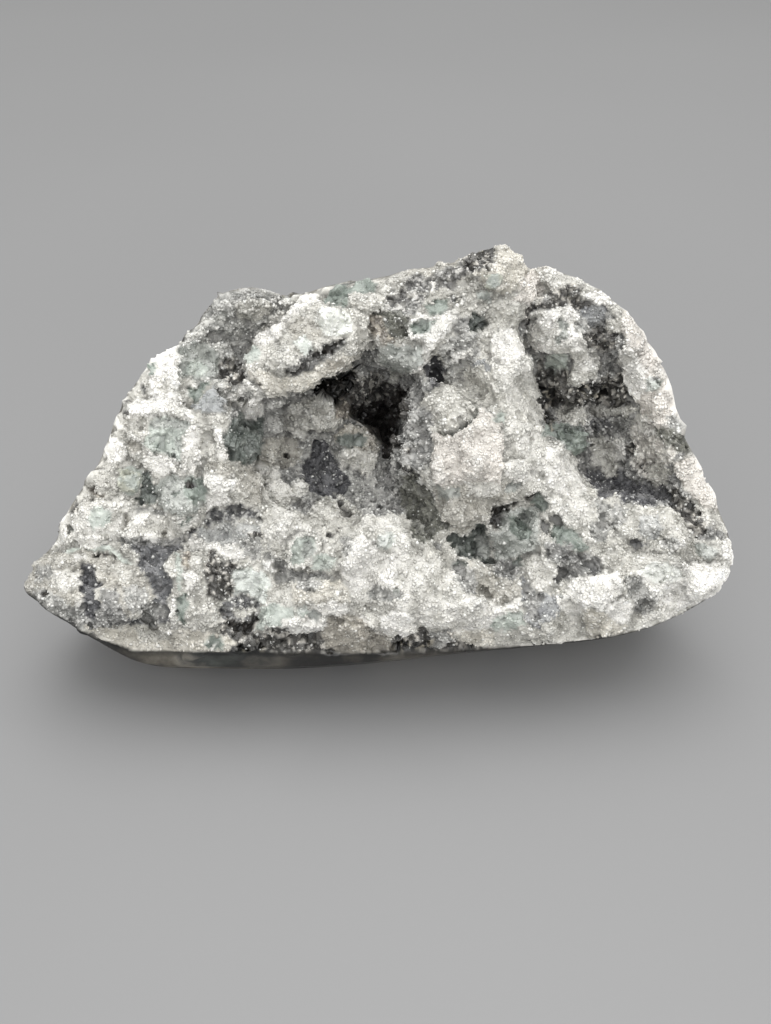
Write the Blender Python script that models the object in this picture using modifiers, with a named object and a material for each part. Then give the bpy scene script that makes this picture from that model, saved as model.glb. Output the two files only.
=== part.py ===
"""Sugar fluorite cluster: a polished freeform of rock with one rough face of sugar-coated fluorite.

Metres, +Z up. The origin is the middle of the flat that the rock rests on.
The rough face has its own axes: s runs to the right, t up the slope, d out of the face.
Places on the face are given in millimetres as (s, t, d).
"""

import math
import random

import bmesh
import bpy
import numpy as np
from mathutils import Matrix, Vector, noise

# Driving dimensions
MM = 0.001
FACE_TILT = math.radians(45)
FACE_MIDDLE = Vector((0.0009, -0.0060, 0.0390))
HULL_DEPTH = 45.0
HULL_FULLNESS = 2.3
HULL_LEAN = -5.0
REST_HALF = Vector((0.09, 0.09, 0.02))
GAP = 0.3

# Detail sizes
VOXEL = 0.8
CRUST_VOXEL = 0.7
ROCK_FACES = 7400
CRUST_FACES = 1500
CURVE_STEPS = 8
RIM_READINGS = 720
RIM_STEPS = 108
HULL_STEPS = 16
FACE_STEPS = 20
EDGE_EASE = 0.16
HOLLOW_VOXEL = 1.0
HOLLOW_FACES = 900
LID_SIZE = (120.0, 120.0, 60.0)
CRYSTAL_BEVEL = 0.09

# Rim of the rough face, clockwise from the left tip
RIM = (
    (-61.7, -22.4), (-59.0, -17.6), (-55.4, -13.6), (-49.6, -5.1), (-45.6, 2.6), (-43.2, 9.6),
    (-38.4, 16.4), (-34.0, 22.4), (-28.4, 28.2), (-21.8, 30.4), (-12.6, 27.8), (-4.0, 30.4),
    (5.0, 32.8), (12.9, 35.2), (21.5, 37.3), (26.6, 35.6), (32.7, 33.8), (39.3, 31.0),
    (46.0, 24.0), (50.8, 15.2), (53.8, 5.0), (58.0, -4.5), (61.6, -13.8), (61.6, -18.6),
    (58.2, -23.8), (50.0, -28.4), (41.0, -31.0), (27.0, -32.6), (13.5, -33.9), (0.0, -35.4),
    (-14.0, -36.4), (-28.0, -36.4), (-40.6, -35.8), (-48.4, -32.0), (-57.2, -26.2),
)

# Broad relief of the face: name, s, t, radius along, radius across, turn in degrees, height
SWELLS = (
    ("basin", -10.0, 2.0, 18.5, 12.0, -12.0, -9.5),
    ("deep hole", 1.0, 11.0, 8.0, 9.0, 0.0, -8.0),
    ("upper left slope", -20.0, 19.0, 11.0, 8.0, 20.0, -9.0),
    ("right recess", 39.6, 10.0, 20.0, 10.6, -56.0, -15.0),
    ("right recess foot", 45.0, -1.0, 11.0, 8.0, -40.0, -6.0),
    ("central mass", 16.0, 0.0, 10.0, 11.0, 0.0, 3.0),
    ("front mass", 0.0, -19.0, 22.0, 8.0, 0.0, 2.0),
    ("lower left saddle", -39.0, -21.0, 4.0, 12.0, 0.0, -3.5),
)

RECESS = next(swell for swell in SWELLS if swell[0] == "right recess")
RECESS_LEVEL = -3.0

# Rounded masses: name, place, radii, turn in degrees, lean in degrees, roughness
MASSES = (
    ("left knob", (-48.5, -23.0, -0.5), (10.5, 8.0, 6.0), -8, 0, 0.16),
    ("left knob crest", (-41.5, -16.5, 0.5), (6.5, 4.0, 4.0), -35, 0, 0.2),
    ("lower left lump", (-28.8, -25.5, -0.5), (9.5, 9.0, 6.4), 0, 0, 0.16),
    ("lower left ridge", (-33.0, -19.0, 0.5), (7.0, 4.0, 4.6), 20, 0, 0.2),
    ("left ball", (-43.0, -4.8, 0.5), (5.0, 4.6, 4.4), 0, 0, 0.12),
    ("left round", (-33.0, -7.2, 0.5), (5.6, 5.0, 4.6), 0, 0, 0.14),
    ("left shoulder", (-52.0, -11.0, -1.0), (6.0, 7.0, 4.0), 45, 0, 0.2),
    ("left flank", (-46.5, 3.0, -1.0), (4.6, 6.0, 4.0), 25, 0, 0.2),
    ("cliff top", (-27.5, -1.0, -0.5), (4.0, 9.0, 5.0), -8, 0, 0.18),
    ("cliff foot", (-24.5, -8.5, -1.5), (5.0, 5.0, 4.6), 0, 0, 0.2),
    ("upper left edge", (-38.8, 13.0, -1.0), (4.8, 7.5, 3.6), -35, 0, 0.2),
    ("upper left crest", (-24.0, 28.0, -2.0), (8.0, 4.0, 3.4), 5, 0, 0.18),
    ("tongue", (-11.5, 18.3, 5.0), (14.0, 5.0, 3.9), 31, 0, 0.16),
    ("tongue nose", (-19.4, 13.8, 5.0), (5.4, 4.6, 3.4), 20, 0, 0.16),
    ("tongue root", (-4.0, 25.0, 2.0), (7.0, 5.6, 5.0), 30, 0, 0.18),
    ("top ridge left", (-8.0, 28.4, -0.5), (8.0, 4.0, 4.0), 0, 0, 0.2),
    ("top ridge", (9.0, 28.6, 1.0), (13.0, 5.0, 5.4), 14, 0, 0.16),
    ("hanging block", (6.8, 21.6, 2.4), (8.0, 5.4, 5.0), 20, 0, 0.16),
    ("top lump", (20.5, 30.0, 1.4), (6.6, 7.0, 6.0), 0, 0, 0.18),
    ("top lump foot", (16.5, 21.5, -1.0), (5.0, 7.0, 5.4), -20, 0, 0.18),
    ("big bulge", (16.6, -1.0, 2.4), (9.6, 8.6, 8.4), 0, 0, 0.14),
    ("bulge knob", (11.6, 7.6, 2.6), (5.4, 4.8, 5.0), 0, 0, 0.14),
    ("bulge tail", (15.4, -10.0, 1.0), (5.4, 6.4, 5.2), 10, 0, 0.16),
    ("bulge edge", (9.0, 0.0, 0.0), (4.6, 6.6, 5.0), 20, 0, 0.2),
    ("wall top", (21.6, 17.5, -1.0), (3.8, 8.0, 6.0), 8, 0, 0.18),
    ("wall", (21.8, 7.5, -0.5), (4.2, 8.0, 6.6), 12, 0, 0.18),
    ("wall foot", (27.4, -4.6, -0.5), (4.4, 8.0, 5.6), 34, 0, 0.18),
    ("wall end", (34.4, -10.4, -1.0), (5.6, 3.8, 4.4), -35, 0, 0.2),
    ("recess ring", (33.4, 23.6, -6.4), (5.4, 5.0, 5.4), 0, 0, 0.12),
    ("recess lump", (37.4, 16.2, -9.6), (4.2, 4.8, 5.0), 0, 0, 0.16),
    ("recess green", (35.8, 6.0, -11.4), (4.4, 4.0, 4.0), 0, 0, 0.14),
    ("rim roll upper", (45.6, 21.6, -3.2), (4.4, 9.0, 3.4), 38, 0, 0.12),
    ("rim roll lower", (55.0, -1.0, -3.4), (3.6, 10.0, 3.4), 20, 0, 0.12),
    ("lower right shelf", (47.5, -11.8, -2.0), (9.5, 4.6, 4.4), -10, 0, 0.16),
    ("lower right green", (50.0, -19.2, -1.4), (6.4, 4.8, 4.6), 0, 0, 0.14),
    ("lower right corner", (57.0, -20.4, -2.6), (4.6, 6.0, 3.8), -30, 0, 0.16),
    ("lower right lump", (38.0, -22.4, -0.6), (7.4, 5.6, 5.4), 10, 0, 0.16),
    ("middle right lump", (31.6, -17.0, -0.6), (5.2, 4.6, 5.0), 0, 0, 0.18),
    ("right knuckle", (43.0, -16.0, -1.4), (5.0, 4.0, 4.2), 0, 0, 0.18),
    ("front right lump", (24.4, -25.6, -0.6), (7.4, 5.8, 5.4), 0, 0, 0.18),
    ("front lump", (8.0, -23.6, 0.4), (10.4, 7.0, 6.6), 10, 0, 0.16),
    ("front left lump", (-9.0, -25.0, 0.0), (12.0, 7.6, 6.4), 0, 0, 0.16),
    ("front crest", (1.4, -15.6, 0.8), (10.0, 5.4, 6.6), -8, 0, 0.18),
    ("front left crest", (-13.6, -15.0, 0.0), (8.4, 6.0, 6.4), 12, 0, 0.18),
    ("front centre low", (14.0, -29.0, -2.4), (9.0, 4.4, 4.6), 0, 0, 0.18),
    ("front left low", (-20.0, -31.5, -2.6), (10.0, 4.4, 4.4), 0, 0, 0.18),
)

# Flat-faced fluorite crystals: name, place, edge lengths, turns in degrees about s, t and d
CRYSTALS = (
    ("left green cube", (-36.4, 2.0, 0.5), (10.0, 8.6, 7.4), (12, -8, 8)),
    ("left white cube", (-40.6, 8.0, -0.5), (8.0, 8.0, 6.0), (-10, 14, 35)),
    ("left low cube", (-40.2, -10.6, -0.4), (7.0, 6.0, 6.0), (18, 10, 20)),
    ("left edge cube", (-50.0, -5.0, -1.0), (6.4, 6.0, 5.0), (10, 20, 50)),
    ("ridge cube", (-28.6, 4.6, 0.0), (6.0, 7.0, 6.0), (15, 20, 12)),
    ("slab", (-26.0, 21.4, -5.8), (13.0, 11.0, 5.0), (18, 14, 8)),
    ("slab step", (-29.0, 13.6, -4.4), (9.0, 7.4, 6.0), (-12, 20, 20)),
    ("bluish facet", (-30.6, 9.6, -2.0), (6.0, 6.4, 5.0), (-20, 24, 35)),
    ("tongue cube", (-8.6, 20.4, 6.0), (8.0, 6.6, 5.4), (18, -14, 28)),
    ("tongue cube low", (-15.6, 16.4, 5.6), (6.4, 6.0, 4.8), (-14, 18, 50)),
    ("hanging cube", (3.6, 20.0, 4.4), (7.0, 7.4, 6.6), (20, -20, 35)),
    ("hanging cube right", (10.4, 22.6, 4.6), (7.6, 6.6, 6.0), (-14, 16, 15)),
    ("ridge block", (4.4, 29.2, 3.0), (10.0, 5.6, 5.0), (28, 0, 12)),
    ("ridge block right", (14.6, 31.4, 3.6), (8.4, 5.4, 5.2), (26, -6, 20)),
    ("corner cube", (6.2, 2.2, 1.6), (6.0, 6.0, 6.4), (24, 18, 40)),
    ("edge cube", (8.2, -4.4, 0.4), (5.4, 6.4, 6.0), (12, -20, 20)),
    ("bulge cube", (19.6, 4.6, 5.4), (7.0, 6.6, 6.0), (-18, 24, 30)),
    ("bulge side cube", (23.4, -5.0, 2.4), (6.4, 6.4, 6.0), (20, 22, 12)),
    ("wall cube", (21.6, 12.6, 2.4), (5.6, 6.0, 5.6), (30, 10, 40)),
    ("wall cube low", (26.4, 0.0, 2.6), (5.6, 6.0, 5.4), (14, 26, 22)),
    ("recess cube", (33.6, 23.6, -3.0), (7.4, 7.0, 5.0), (6, 8, 16)),
    ("lower right cube", (48.6, -19.4, 1.4), (7.4, 6.4, 5.0), (10, -12, 30)),
    ("middle green cube", (27.4, -14.0, -1.2), (6.4, 6.0, 6.0), (22, 10, 46)),
    ("front cube left", (-14.6, -13.6, 3.2), (8.0, 7.0, 6.4), (16, 18, 40)),
    ("front cube", (-5.0, -17.6, 4.0), (7.0, 6.4, 6.0), (20, -16, 20)),
    ("front cube right", (6.4, -18.2, 4.2), (7.6, 7.0, 6.0), (24, 12, 52)),
    ("front low cube", (-2.0, -27.4, 2.6), (8.6, 6.6, 5.6), (-14, 10, 26)),
    ("front low cube right", (12.4, -25.4, 3.0), (7.6, 6.4, 5.6), (-10, -14, 18)),
    ("front far left cube", (-20.4, -20.0, 0.6), (7.0, 6.4, 6.0), (10, 16, 34)),
)

# Dents: name, s, t, radius, depth
DENTS = (
    ("dark nub pit", -23.6, -26.4, 3.4, 5.0),
    ("knob hollow", -50.6, -22.4, 3.0, 1.8),
    ("saddle", -38.6, -22.0, 4.4, 2.0),
    ("below the bulge", 18.0, -16.4, 4.2, 5.0),
    ("below the bulge, right", 25.0, -9.6, 3.2, 4.0),
    ("recess ring middle", 33.4, 23.6, 2.4, 1.6),
    ("top notch", 26.4, 33.0, 2.4, 5.0),
    ("between cube and ball", -38.4, -2.6, 2.4, 2.6),
    ("cliff gap", -30.4, -3.4, 2.0, 2.4),
    ("front pit", 4.0, -21.0, 2.2, 2.4),
    ("ridge pit", 15.6, 25.0, 2.4, 3.0),
    ("shelf gap", 44.6, -20.8, 2.4, 2.6),
)

DENTS_REACH = 8.0
DENT_EDGE = 1.6

# The hollow: rounded spaces cut in the rock, and the level of its mouth
HOLLOW = (
    ((-9.5, 2.0, -3.0), (20.0, 13.6, 13.0)),
    ((1.0, 10.5, -12.0), (9.0, 9.5, 22.0)),
)
MOUTH_LEVEL = -4.2
CRUST_THICKNESS = 2.6

# Lumps on the floor of the hollow: place, radii, turn
CRUST_LUMPS = (
    ((-9.9, 8.6, -12.0), (4.6, 3.6, 4.4), 10),
    ((-3.6, 4.6, -13.0), (4.6, 3.8, 4.6), -20),
    ((-16.8, -4.8, -9.6), (5.2, 4.0, 4.4), 15),
    ((-8.2, -3.4, -12.6), (4.4, 3.6, 4.6), 0),
    ((-21.0, 5.6, -9.0), (3.8, 4.4, 4.0), 0),
    ((-1.0, -3.4, -11.0), (4.0, 3.4, 4.0), 30),
)

# Small crystals scattered over the rough face
SEED = 11
SCATTER = 520
SCATTER_SIZE = (1.5, 4.2)
RECESS_SCATTER_SIZE = (1.2, 2.6)
SMALLER_SHARE = 1.8
SCATTER_CLEARANCE = 1.8
EDGE_OVERHANG = 1.4
BROKEN_EDGE = (53, -160)
GROWTH_SIZE = 9.0
GROWTH_WANDER = 14
ROUGH_DEPTH = 0.8
ROUGH_SCALE = 3.0
ROUGH_FROM_RIM = (0.5, 3.0)
CRUST_SCATTER = 150
CRUST_SCATTER_SIZE = (1.4, 2.8)

STONE = (0.62, 0.66, 0.64, 1.0)
CRUST = (0.45, 0.48, 0.48, 1.0)


def clear_scene():
    for obj in list(bpy.data.objects):
        bpy.data.objects.remove(obj, do_unlink=True)


def collection(name):
    made = bpy.data.collections.new(name)
    bpy.context.scene.collection.children.link(made)
    return made


def face_matrix():
    """From face axes in millimetres to the world in metres."""
    up = Vector((0, math.cos(FACE_TILT), math.sin(FACE_TILT)))
    out = Vector((0, -math.sin(FACE_TILT), math.cos(FACE_TILT)))
    turn = Matrix((Vector((1, 0, 0)), up, out)).transposed()
    return Matrix.Translation(FACE_MIDDLE) @ turn.to_4x4() @ Matrix.Scale(MM, 4)


def rim_points(count):
    """The rim as a smooth closed curve through its points, evenly spread by angle."""
    points = np.array(RIM)
    curve = []
    for i in range(len(points)):
        before, start, end, after = (points[(i + k) % len(points)] for k in (-1, 0, 1, 2))
        for j in range(CURVE_STEPS):
            u = j / CURVE_STEPS
            blend = (
                2 * start
                + (end - before) * u
                + (2 * before - 5 * start + 4 * end - after) * u ** 2
                + (3 * start - before - 3 * end + after) * u ** 3
            )
            curve.append(blend / 2)
    curve = np.array(curve)
    angle = np.arctan2(curve[:, 1], curve[:, 0])
    order = np.argsort(angle)
    radius = np.hypot(curve[:, 0], curve[:, 1])
    wanted = np.linspace(-math.pi, math.pi, count, endpoint=False)
    found = np.interp(wanted, angle[order], radius[order], period=2 * math.pi)
    return wanted, found


RIM_ANGLE, RIM_RADIUS = rim_points(RIM_READINGS)


def rim_radius(s, t):
    """Distance from the face's middle to its rim, towards (s, t)."""
    return float(np.interp(math.atan2(t, s), RIM_ANGLE, RIM_RADIUS, period=2 * math.pi))


def hull_share(d):
    """How wide the hull is at depth d, as a share of the rim."""
    deep = min(max(-d / HULL_DEPTH, 0.0), 1.0)
    return (1 - deep ** HULL_FULLNESS) ** (1 / HULL_FULLNESS)


def lean(d):
    """How far the hull's sections slide down the slope at depth d."""
    return HULL_LEAN * min(max(-d / HULL_DEPTH, 0.0), 1.0)


def relief(s, t):
    """Height of the bare face before lumps and crystals."""
    height = 0.0
    for _name, at_s, at_t, along, across, turn, rise in SWELLS:
        angle = math.radians(turn)
        ds, dt = s - at_s, t - at_t
        u = (ds * math.cos(angle) + dt * math.sin(angle)) / along
        v = (dt * math.cos(angle) - ds * math.sin(angle)) / across
        height += rise * math.exp(-((u * u + v * v) ** 1.5))
    return height


def smooth_step(low, high, value):
    share = min(max((value - low) / (high - low), 0.0), 1.0)
    return share * share * (3 - 2 * share)


def body_mesh():
    """The hull with its bare face: a loft of rings from the deepest point over the rim to the middle."""
    angles = np.linspace(-math.pi, math.pi, RIM_STEPS, endpoint=False)
    mesh = bmesh.new()
    rings = []
    for step in range(1, HULL_STEPS + 1):
        rise = math.radians(90 * step / HULL_STEPS)
        depth = -HULL_DEPTH * math.cos(rise)
        share = hull_share(depth)
        rings.append([
            (share * rim_radius(math.cos(a), math.sin(a)) * math.cos(a),
             share * rim_radius(math.cos(a), math.sin(a)) * math.sin(a) + lean(depth),
             depth)
            for a in angles
        ])
    for step in range(1, FACE_STEPS):
        share = 1 - step / FACE_STEPS
        ring = []
        for a in angles:
            radius = share * rim_radius(math.cos(a), math.sin(a))
            s, t = radius * math.cos(a), radius * math.sin(a)
            edge = smooth_step(0.0, EDGE_EASE, 1 - share)
            ring.append((s, t, edge * relief(s, t)))
        rings.append(ring)
    rows = [[mesh.verts.new(point) for point in ring] for ring in rings]
    for low, high in zip(rows, rows[1:]):
        for i in range(RIM_STEPS):
            j = (i + 1) % RIM_STEPS
            mesh.faces.new((low[i], low[j], high[j], high[i]))
    bottom = mesh.verts.new((0, lean(-HULL_DEPTH), -HULL_DEPTH))
    top = mesh.verts.new((0, 0, relief(0, 0)))
    for i in range(RIM_STEPS):
        j = (i + 1) % RIM_STEPS
        mesh.faces.new((bottom, rows[0][j], rows[0][i]))
        mesh.faces.new((top, rows[-1][i], rows[-1][j]))
    bmesh.ops.recalc_face_normals(mesh, faces=mesh.faces)
    return mesh


def turned(turns):
    """Turns about s, then t, then d, in degrees."""
    matrix = Matrix.Identity(4)
    for axis, turn in zip("XYZ", turns):
        matrix = Matrix.Rotation(math.radians(turn), 4, axis) @ matrix
    return matrix


def add_mass(mesh, place, radii, turns, rough):
    """A rounded lump: an icosphere drawn out to its radii, with an uneven surface."""
    found = bmesh.ops.create_icosphere(mesh, subdivisions=4, radius=1.0)
    matrix = Matrix.Translation(place) @ turned(turns)
    shift = Vector(place)
    for vert in found["verts"]:
        swell = 1 + rough * 1.6 * noise.fractal(vert.co * 1.7 + shift, 1.0, 2.0, 3)
        vert.co = matrix @ Vector((vert.co[k] * radii[k] * swell for k in range(3)))


def add_crystal(mesh, place, edges, turns):
    """A flat-faced crystal: a box with its edges taken off."""
    found = bmesh.ops.create_cube(mesh, size=1.0)
    verts = found["verts"]
    matrix = Matrix.Translation(place) @ turned(turns) @ Matrix.Diagonal((*edges, 1.0))
    bmesh.ops.transform(mesh, matrix=matrix, verts=verts)
    ring = list({edge for vert in verts for edge in vert.link_edges})
    bmesh.ops.bevel(mesh, geom=ring, offset=CRYSTAL_BEVEL * min(edges), segments=1, affect="EDGES")


def new_object(name, mesh, where):
    data = bpy.data.meshes.new(name)
    mesh.to_mesh(data)
    mesh.free()
    obj = bpy.data.objects.new(name, data)
    where.objects.link(obj)
    return obj


def bake_modifiers(obj):
    """Makes the object's mesh the one that its modifiers give."""
    graph = bpy.context.evaluated_depsgraph_get()
    graph.update()
    data = bpy.data.meshes.new_from_object(obj.evaluated_get(graph))
    obj.modifiers.clear()
    old = obj.data
    obj.data = data
    bpy.data.meshes.remove(old)


def fuse(obj, voxel):
    """Joins the overlapping shapes of one object in one skin."""
    remesh = obj.modifiers.new("fuse", "REMESH")
    remesh.mode = "VOXEL"
    remesh.voxel_size = voxel
    remesh.adaptivity = 0.0
    bake_modifiers(obj)


def thin(obj, faces):
    obj.data.calc_loop_triangles()
    decimate = obj.modifiers.new("thin", "DECIMATE")
    decimate.ratio = faces / len(obj.data.loop_triangles)
    bake_modifiers(obj)


def boolean(obj, other, operation):
    modifier = obj.modifiers.new(operation.lower(), "BOOLEAN")
    modifier.operation = operation
    modifier.solver = "EXACT"
    modifier.object = other


def rim_clearance(point):
    """Distance from the hull's own surface, inwards, in millimetres."""
    s, t = point.x, point.y - lean(point.z)
    radius = rim_radius(s, t)
    return radius * hull_share(point.z) - math.hypot(s, t)


def largest_piece(mesh):
    """Deletes what isn't connected with the largest piece."""
    mesh.verts.ensure_lookup_table()
    left = set(mesh.verts)
    pieces = []
    while left:
        start = left.pop()
        piece, todo = {start}, [start]
        while todo:
            for edge in todo.pop().link_edges:
                for vert in edge.verts:
                    if vert not in piece:
                        piece.add(vert)
                        todo.append(vert)
        left -= piece
        pieces.append(piece)
    pieces.sort(key=len)
    for piece in pieces[:-1]:
        bmesh.ops.delete(mesh, geom=list(piece), context="VERTS")


def keep_largest(obj):
    mesh = bmesh.new()
    mesh.from_mesh(obj.data)
    largest_piece(mesh)
    mesh.to_mesh(obj.data)
    mesh.free()


def surface_spots(obj, count, draw, allowed):
    """Random places on the object's surface with their normals, even by area."""
    faces = [face for face in obj.data.polygons if allowed(face.center, face.normal)]
    areas = np.cumsum([face.area for face in faces])
    for _ in range(count):
        face = faces[int(np.searchsorted(areas, draw.random() * areas[-1]))]
        yield face.center.copy(), face.normal.copy()


def scatter_crystals(obj, count, size_at, draw, allowed):
    """Sinks small crystals in the surface. Neighbours share their turn, as crystals of one growth do."""
    mesh = bmesh.new()
    mesh.from_mesh(obj.data)
    for place, normal in surface_spots(obj, count, draw, allowed):
        smallest, largest = size_at(place)
        size = smallest + (largest - smallest) * draw.random() ** SMALLER_SHARE
        edges = [size * draw.uniform(0.8, 1.3) for _ in range(3)]
        growth = noise.cell_vector(place / GROWTH_SIZE)
        turns = [90 * growth[k] + draw.uniform(-GROWTH_WANDER, GROWTH_WANDER) for k in range(3)]
        add_crystal(mesh, place + normal * size * draw.uniform(0.0, 0.22), edges, turns)
    mesh.to_mesh(obj.data)
    mesh.free()


def in_recess(place):
    """Whether a place is on the dark druse of the right recess."""
    _name, at_s, at_t, along, across, turn, _rise = RECESS
    angle = math.radians(turn)
    ds, dt = place.x - at_s, place.y - at_t
    u = (ds * math.cos(angle) + dt * math.sin(angle)) / along
    v = (dt * math.cos(angle) - ds * math.sin(angle)) / across
    return u * u + v * v < 1 and place.z < RECESS_LEVEL


def polish_rim(obj):
    """Brings what stands out past the hull flush with it, and leaves the left and top edges broken."""
    for vert in obj.data.vertices:
        angle = math.degrees(math.atan2(vert.co.y, vert.co.x))
        broken = angle > BROKEN_EDGE[0] or angle < BROKEN_EDGE[1]
        spare = rim_clearance(vert.co) + (EDGE_OVERHANG if broken else 0.0)
        if spare < 0:
            radius = math.hypot(vert.co.x, vert.co.y)
            vert.co.x *= 1 + spare / radius
            vert.co.y *= 1 + spare / radius


def roughen(obj, depth, scale, allowed):
    """Uneven, blocky surface on the vertices that allowed gives a share of."""
    normals = [vert.normal.copy() for vert in obj.data.vertices]
    for vert, normal in zip(obj.data.vertices, normals):
        share = allowed(vert.co)
        if share <= 0:
            continue
        cells = noise.cell(vert.co / scale + Vector((4.0, 9.0, 2.0)))
        waves = noise.fractal(vert.co / (scale * 1.3), 0.9, 2.1, 4)
        vert.co += normal * depth * share * (0.6 * waves + 0.25 * (cells - 0.5))


def dent(obj):
    for vert in obj.data.vertices:
        if vert.co.z < MOUTH_LEVEL - DENTS_REACH:
            continue
        for _name, s, t, radius, depth in DENTS:
            away = math.hypot(vert.co.x - s, vert.co.y - t) / radius
            if away < DENT_EDGE:
                vert.co.z -= depth * math.exp(-1.8 * away ** 2.4)


def rock_mesh(where):
    obj = new_object("fluorite_rock", body_mesh(), where)
    mesh = bmesh.new()
    mesh.from_mesh(obj.data)
    for _name, place, radii, turn, tip, rough in MASSES:
        add_mass(mesh, place, radii, (tip, 0, turn), rough)
    for _name, place, edges, turns in CRYSTALS:
        add_crystal(mesh, place, edges, turns)
    mesh.to_mesh(obj.data)
    mesh.free()
    fuse(obj, VOXEL)
    dent(obj)
    scatter_crystals(
        obj, SCATTER,
        lambda place: RECESS_SCATTER_SIZE if in_recess(place) else SCATTER_SIZE,
        random.Random(SEED),
        lambda place, normal: rim_clearance(place) > SCATTER_CLEARANCE,
    )
    fuse(obj, VOXEL)
    roughen(obj, ROUGH_DEPTH, ROUGH_SCALE, lambda place: smooth_step(*ROUGH_FROM_RIM, rim_clearance(place)))
    polish_rim(obj)
    keep_largest(obj)
    thin(obj, ROCK_FACES)
    return obj


def hollow_mesh(shrink, subdivisions=3):
    """The space of the hollow, smaller all round by shrink, closed at its mouth level."""
    mesh = bmesh.new()
    for place, radii in HOLLOW:
        found = bmesh.ops.create_icosphere(mesh, subdivisions=subdivisions, radius=1.0)
        for vert in found["verts"]:
            vert.co = Vector(place) + Vector((vert.co[k] * (radii[k] - shrink) for k in range(3)))
    return mesh


def lid_mesh(level):
    """A slab over the hollow, with its underside at the level."""
    mesh = bmesh.new()
    middle = Matrix.Translation((0, 0, level + LID_SIZE[2] / 2))
    bmesh.ops.create_cube(mesh, size=1.0, matrix=middle @ Matrix.Diagonal((*LID_SIZE, 1.0)))
    return mesh


def hollow_space(name, shrink, guides):
    """The hollow as one closed solid, for cutting the rock and for limiting the crust."""
    obj = new_object(name, hollow_mesh(shrink), guides)
    fuse(obj, HOLLOW_VOXEL)
    thin(obj, HOLLOW_FACES)
    lid = new_object(name + "_lid", lid_mesh(MOUTH_LEVEL - shrink * 0.5), guides)
    boolean(obj, lid, "DIFFERENCE")
    bake_modifiers(obj)
    hide(lid)
    return obj


def hide(obj):
    obj.hide_render = True
    obj.display_type = "WIRE"


def crust_mesh(where, limit, guides):
    """The crust of crystals that lines the hollow: the space less a smaller, uneven one."""
    obj = new_object("hollow_crust", hollow_mesh(-1.0), where)
    fuse(obj, HOLLOW_VOXEL)
    lid = new_object("crust_lid", lid_mesh(MOUTH_LEVEL), guides)
    inner = new_object("crust_inside", hollow_mesh(CRUST_THICKNESS), guides)
    fuse(inner, HOLLOW_VOXEL)
    boolean(obj, lid, "DIFFERENCE")
    boolean(obj, inner, "DIFFERENCE")
    bake_modifiers(obj)
    hide(lid)
    hide(inner)
    mesh = bmesh.new()
    mesh.from_mesh(obj.data)
    for place, radii, turn in CRUST_LUMPS:
        add_mass(mesh, place, radii, (0, 0, turn), 0.2)
    mesh.to_mesh(obj.data)
    mesh.free()
    fuse(obj, CRUST_VOXEL)

    def inside(place, normal):
        middle = Vector(HOLLOW[0][0])
        return normal.dot(middle - place) > 0 and place.z < MOUTH_LEVEL - 0.5

    scatter_crystals(
        obj, CRUST_SCATTER, lambda place: CRUST_SCATTER_SIZE, random.Random(SEED + 1), inside
    )
    fuse(obj, CRUST_VOXEL)
    thin(obj, CRUST_FACES)
    boolean(obj, limit, "INTERSECT")
    bake_modifiers(obj)
    keep_largest(obj)
    return obj


def material(name, colour, roughness):
    made = bpy.data.materials.new(name)
    made.use_nodes = True
    shader = made.node_tree.nodes["Principled BSDF"]
    shader.inputs["Base Color"].default_value = colour
    shader.inputs["Roughness"].default_value = roughness
    shader.inputs["Metallic"].default_value = 0.0
    return made


def place_in_world(obj):
    obj.data.transform(face_matrix())
    obj.data.update()


def rest_cutter(guides):
    """Everything below the flat that the rock rests on."""
    mesh = bmesh.new()
    size = 2 * REST_HALF
    matrix = Matrix.Translation((0, 0, -REST_HALF.z)) @ Matrix.Diagonal((*size, 1.0))
    bmesh.ops.create_cube(mesh, size=1.0, matrix=matrix)
    obj = new_object("rest_cutter", mesh, guides)
    hide(obj)
    return obj


def main():
    clear_scene()
    parts = collection("sugar_fluorite_cluster")
    guides = collection("cutters")
    space = hollow_space("hollow_space", 0.0, guides)
    limit = hollow_space("crust_limit", GAP, guides)
    rock = rock_mesh(parts)
    boolean(rock, space, "DIFFERENCE")
    bake_modifiers(rock)
    crust = crust_mesh(parts, limit, guides)
    for obj in (space, limit):
        hide(obj)
    for obj in (rock, crust):
        place_in_world(obj)
    boolean(rock, rest_cutter(guides), "DIFFERENCE")
    bake_modifiers(rock)
    rock.data.materials.append(material("sugar_fluorite_stone", STONE, 0.55))
    crust.data.materials.append(material("hollow_druse", CRUST, 0.5))


main()
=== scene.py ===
"""Looks of the sugar fluorite cluster: fine crystal relief, sugar grains, materials, light and camera.

Places on the rough face are (s, t, d) in millimetres: right, up the slope, out of the face.
"""

import math

import bmesh
import bpy
import numpy as np
from mathutils import Matrix, Vector, bvhtree, kdtree, noise


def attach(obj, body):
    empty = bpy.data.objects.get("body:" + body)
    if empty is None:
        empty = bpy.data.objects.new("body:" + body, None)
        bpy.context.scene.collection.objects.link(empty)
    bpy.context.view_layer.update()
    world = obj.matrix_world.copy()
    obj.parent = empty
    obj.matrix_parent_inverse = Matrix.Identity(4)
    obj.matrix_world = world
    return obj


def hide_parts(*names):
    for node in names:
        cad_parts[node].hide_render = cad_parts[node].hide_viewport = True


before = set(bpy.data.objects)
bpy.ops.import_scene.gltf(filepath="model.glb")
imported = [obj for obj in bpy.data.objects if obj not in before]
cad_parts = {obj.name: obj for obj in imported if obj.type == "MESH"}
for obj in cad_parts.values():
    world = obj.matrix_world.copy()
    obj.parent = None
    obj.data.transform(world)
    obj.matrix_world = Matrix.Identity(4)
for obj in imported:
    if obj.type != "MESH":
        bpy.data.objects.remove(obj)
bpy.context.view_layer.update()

# The face's frame, and the hull behind it, as in the solids
MM = 0.001
FACE_TILT = math.radians(45)
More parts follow.
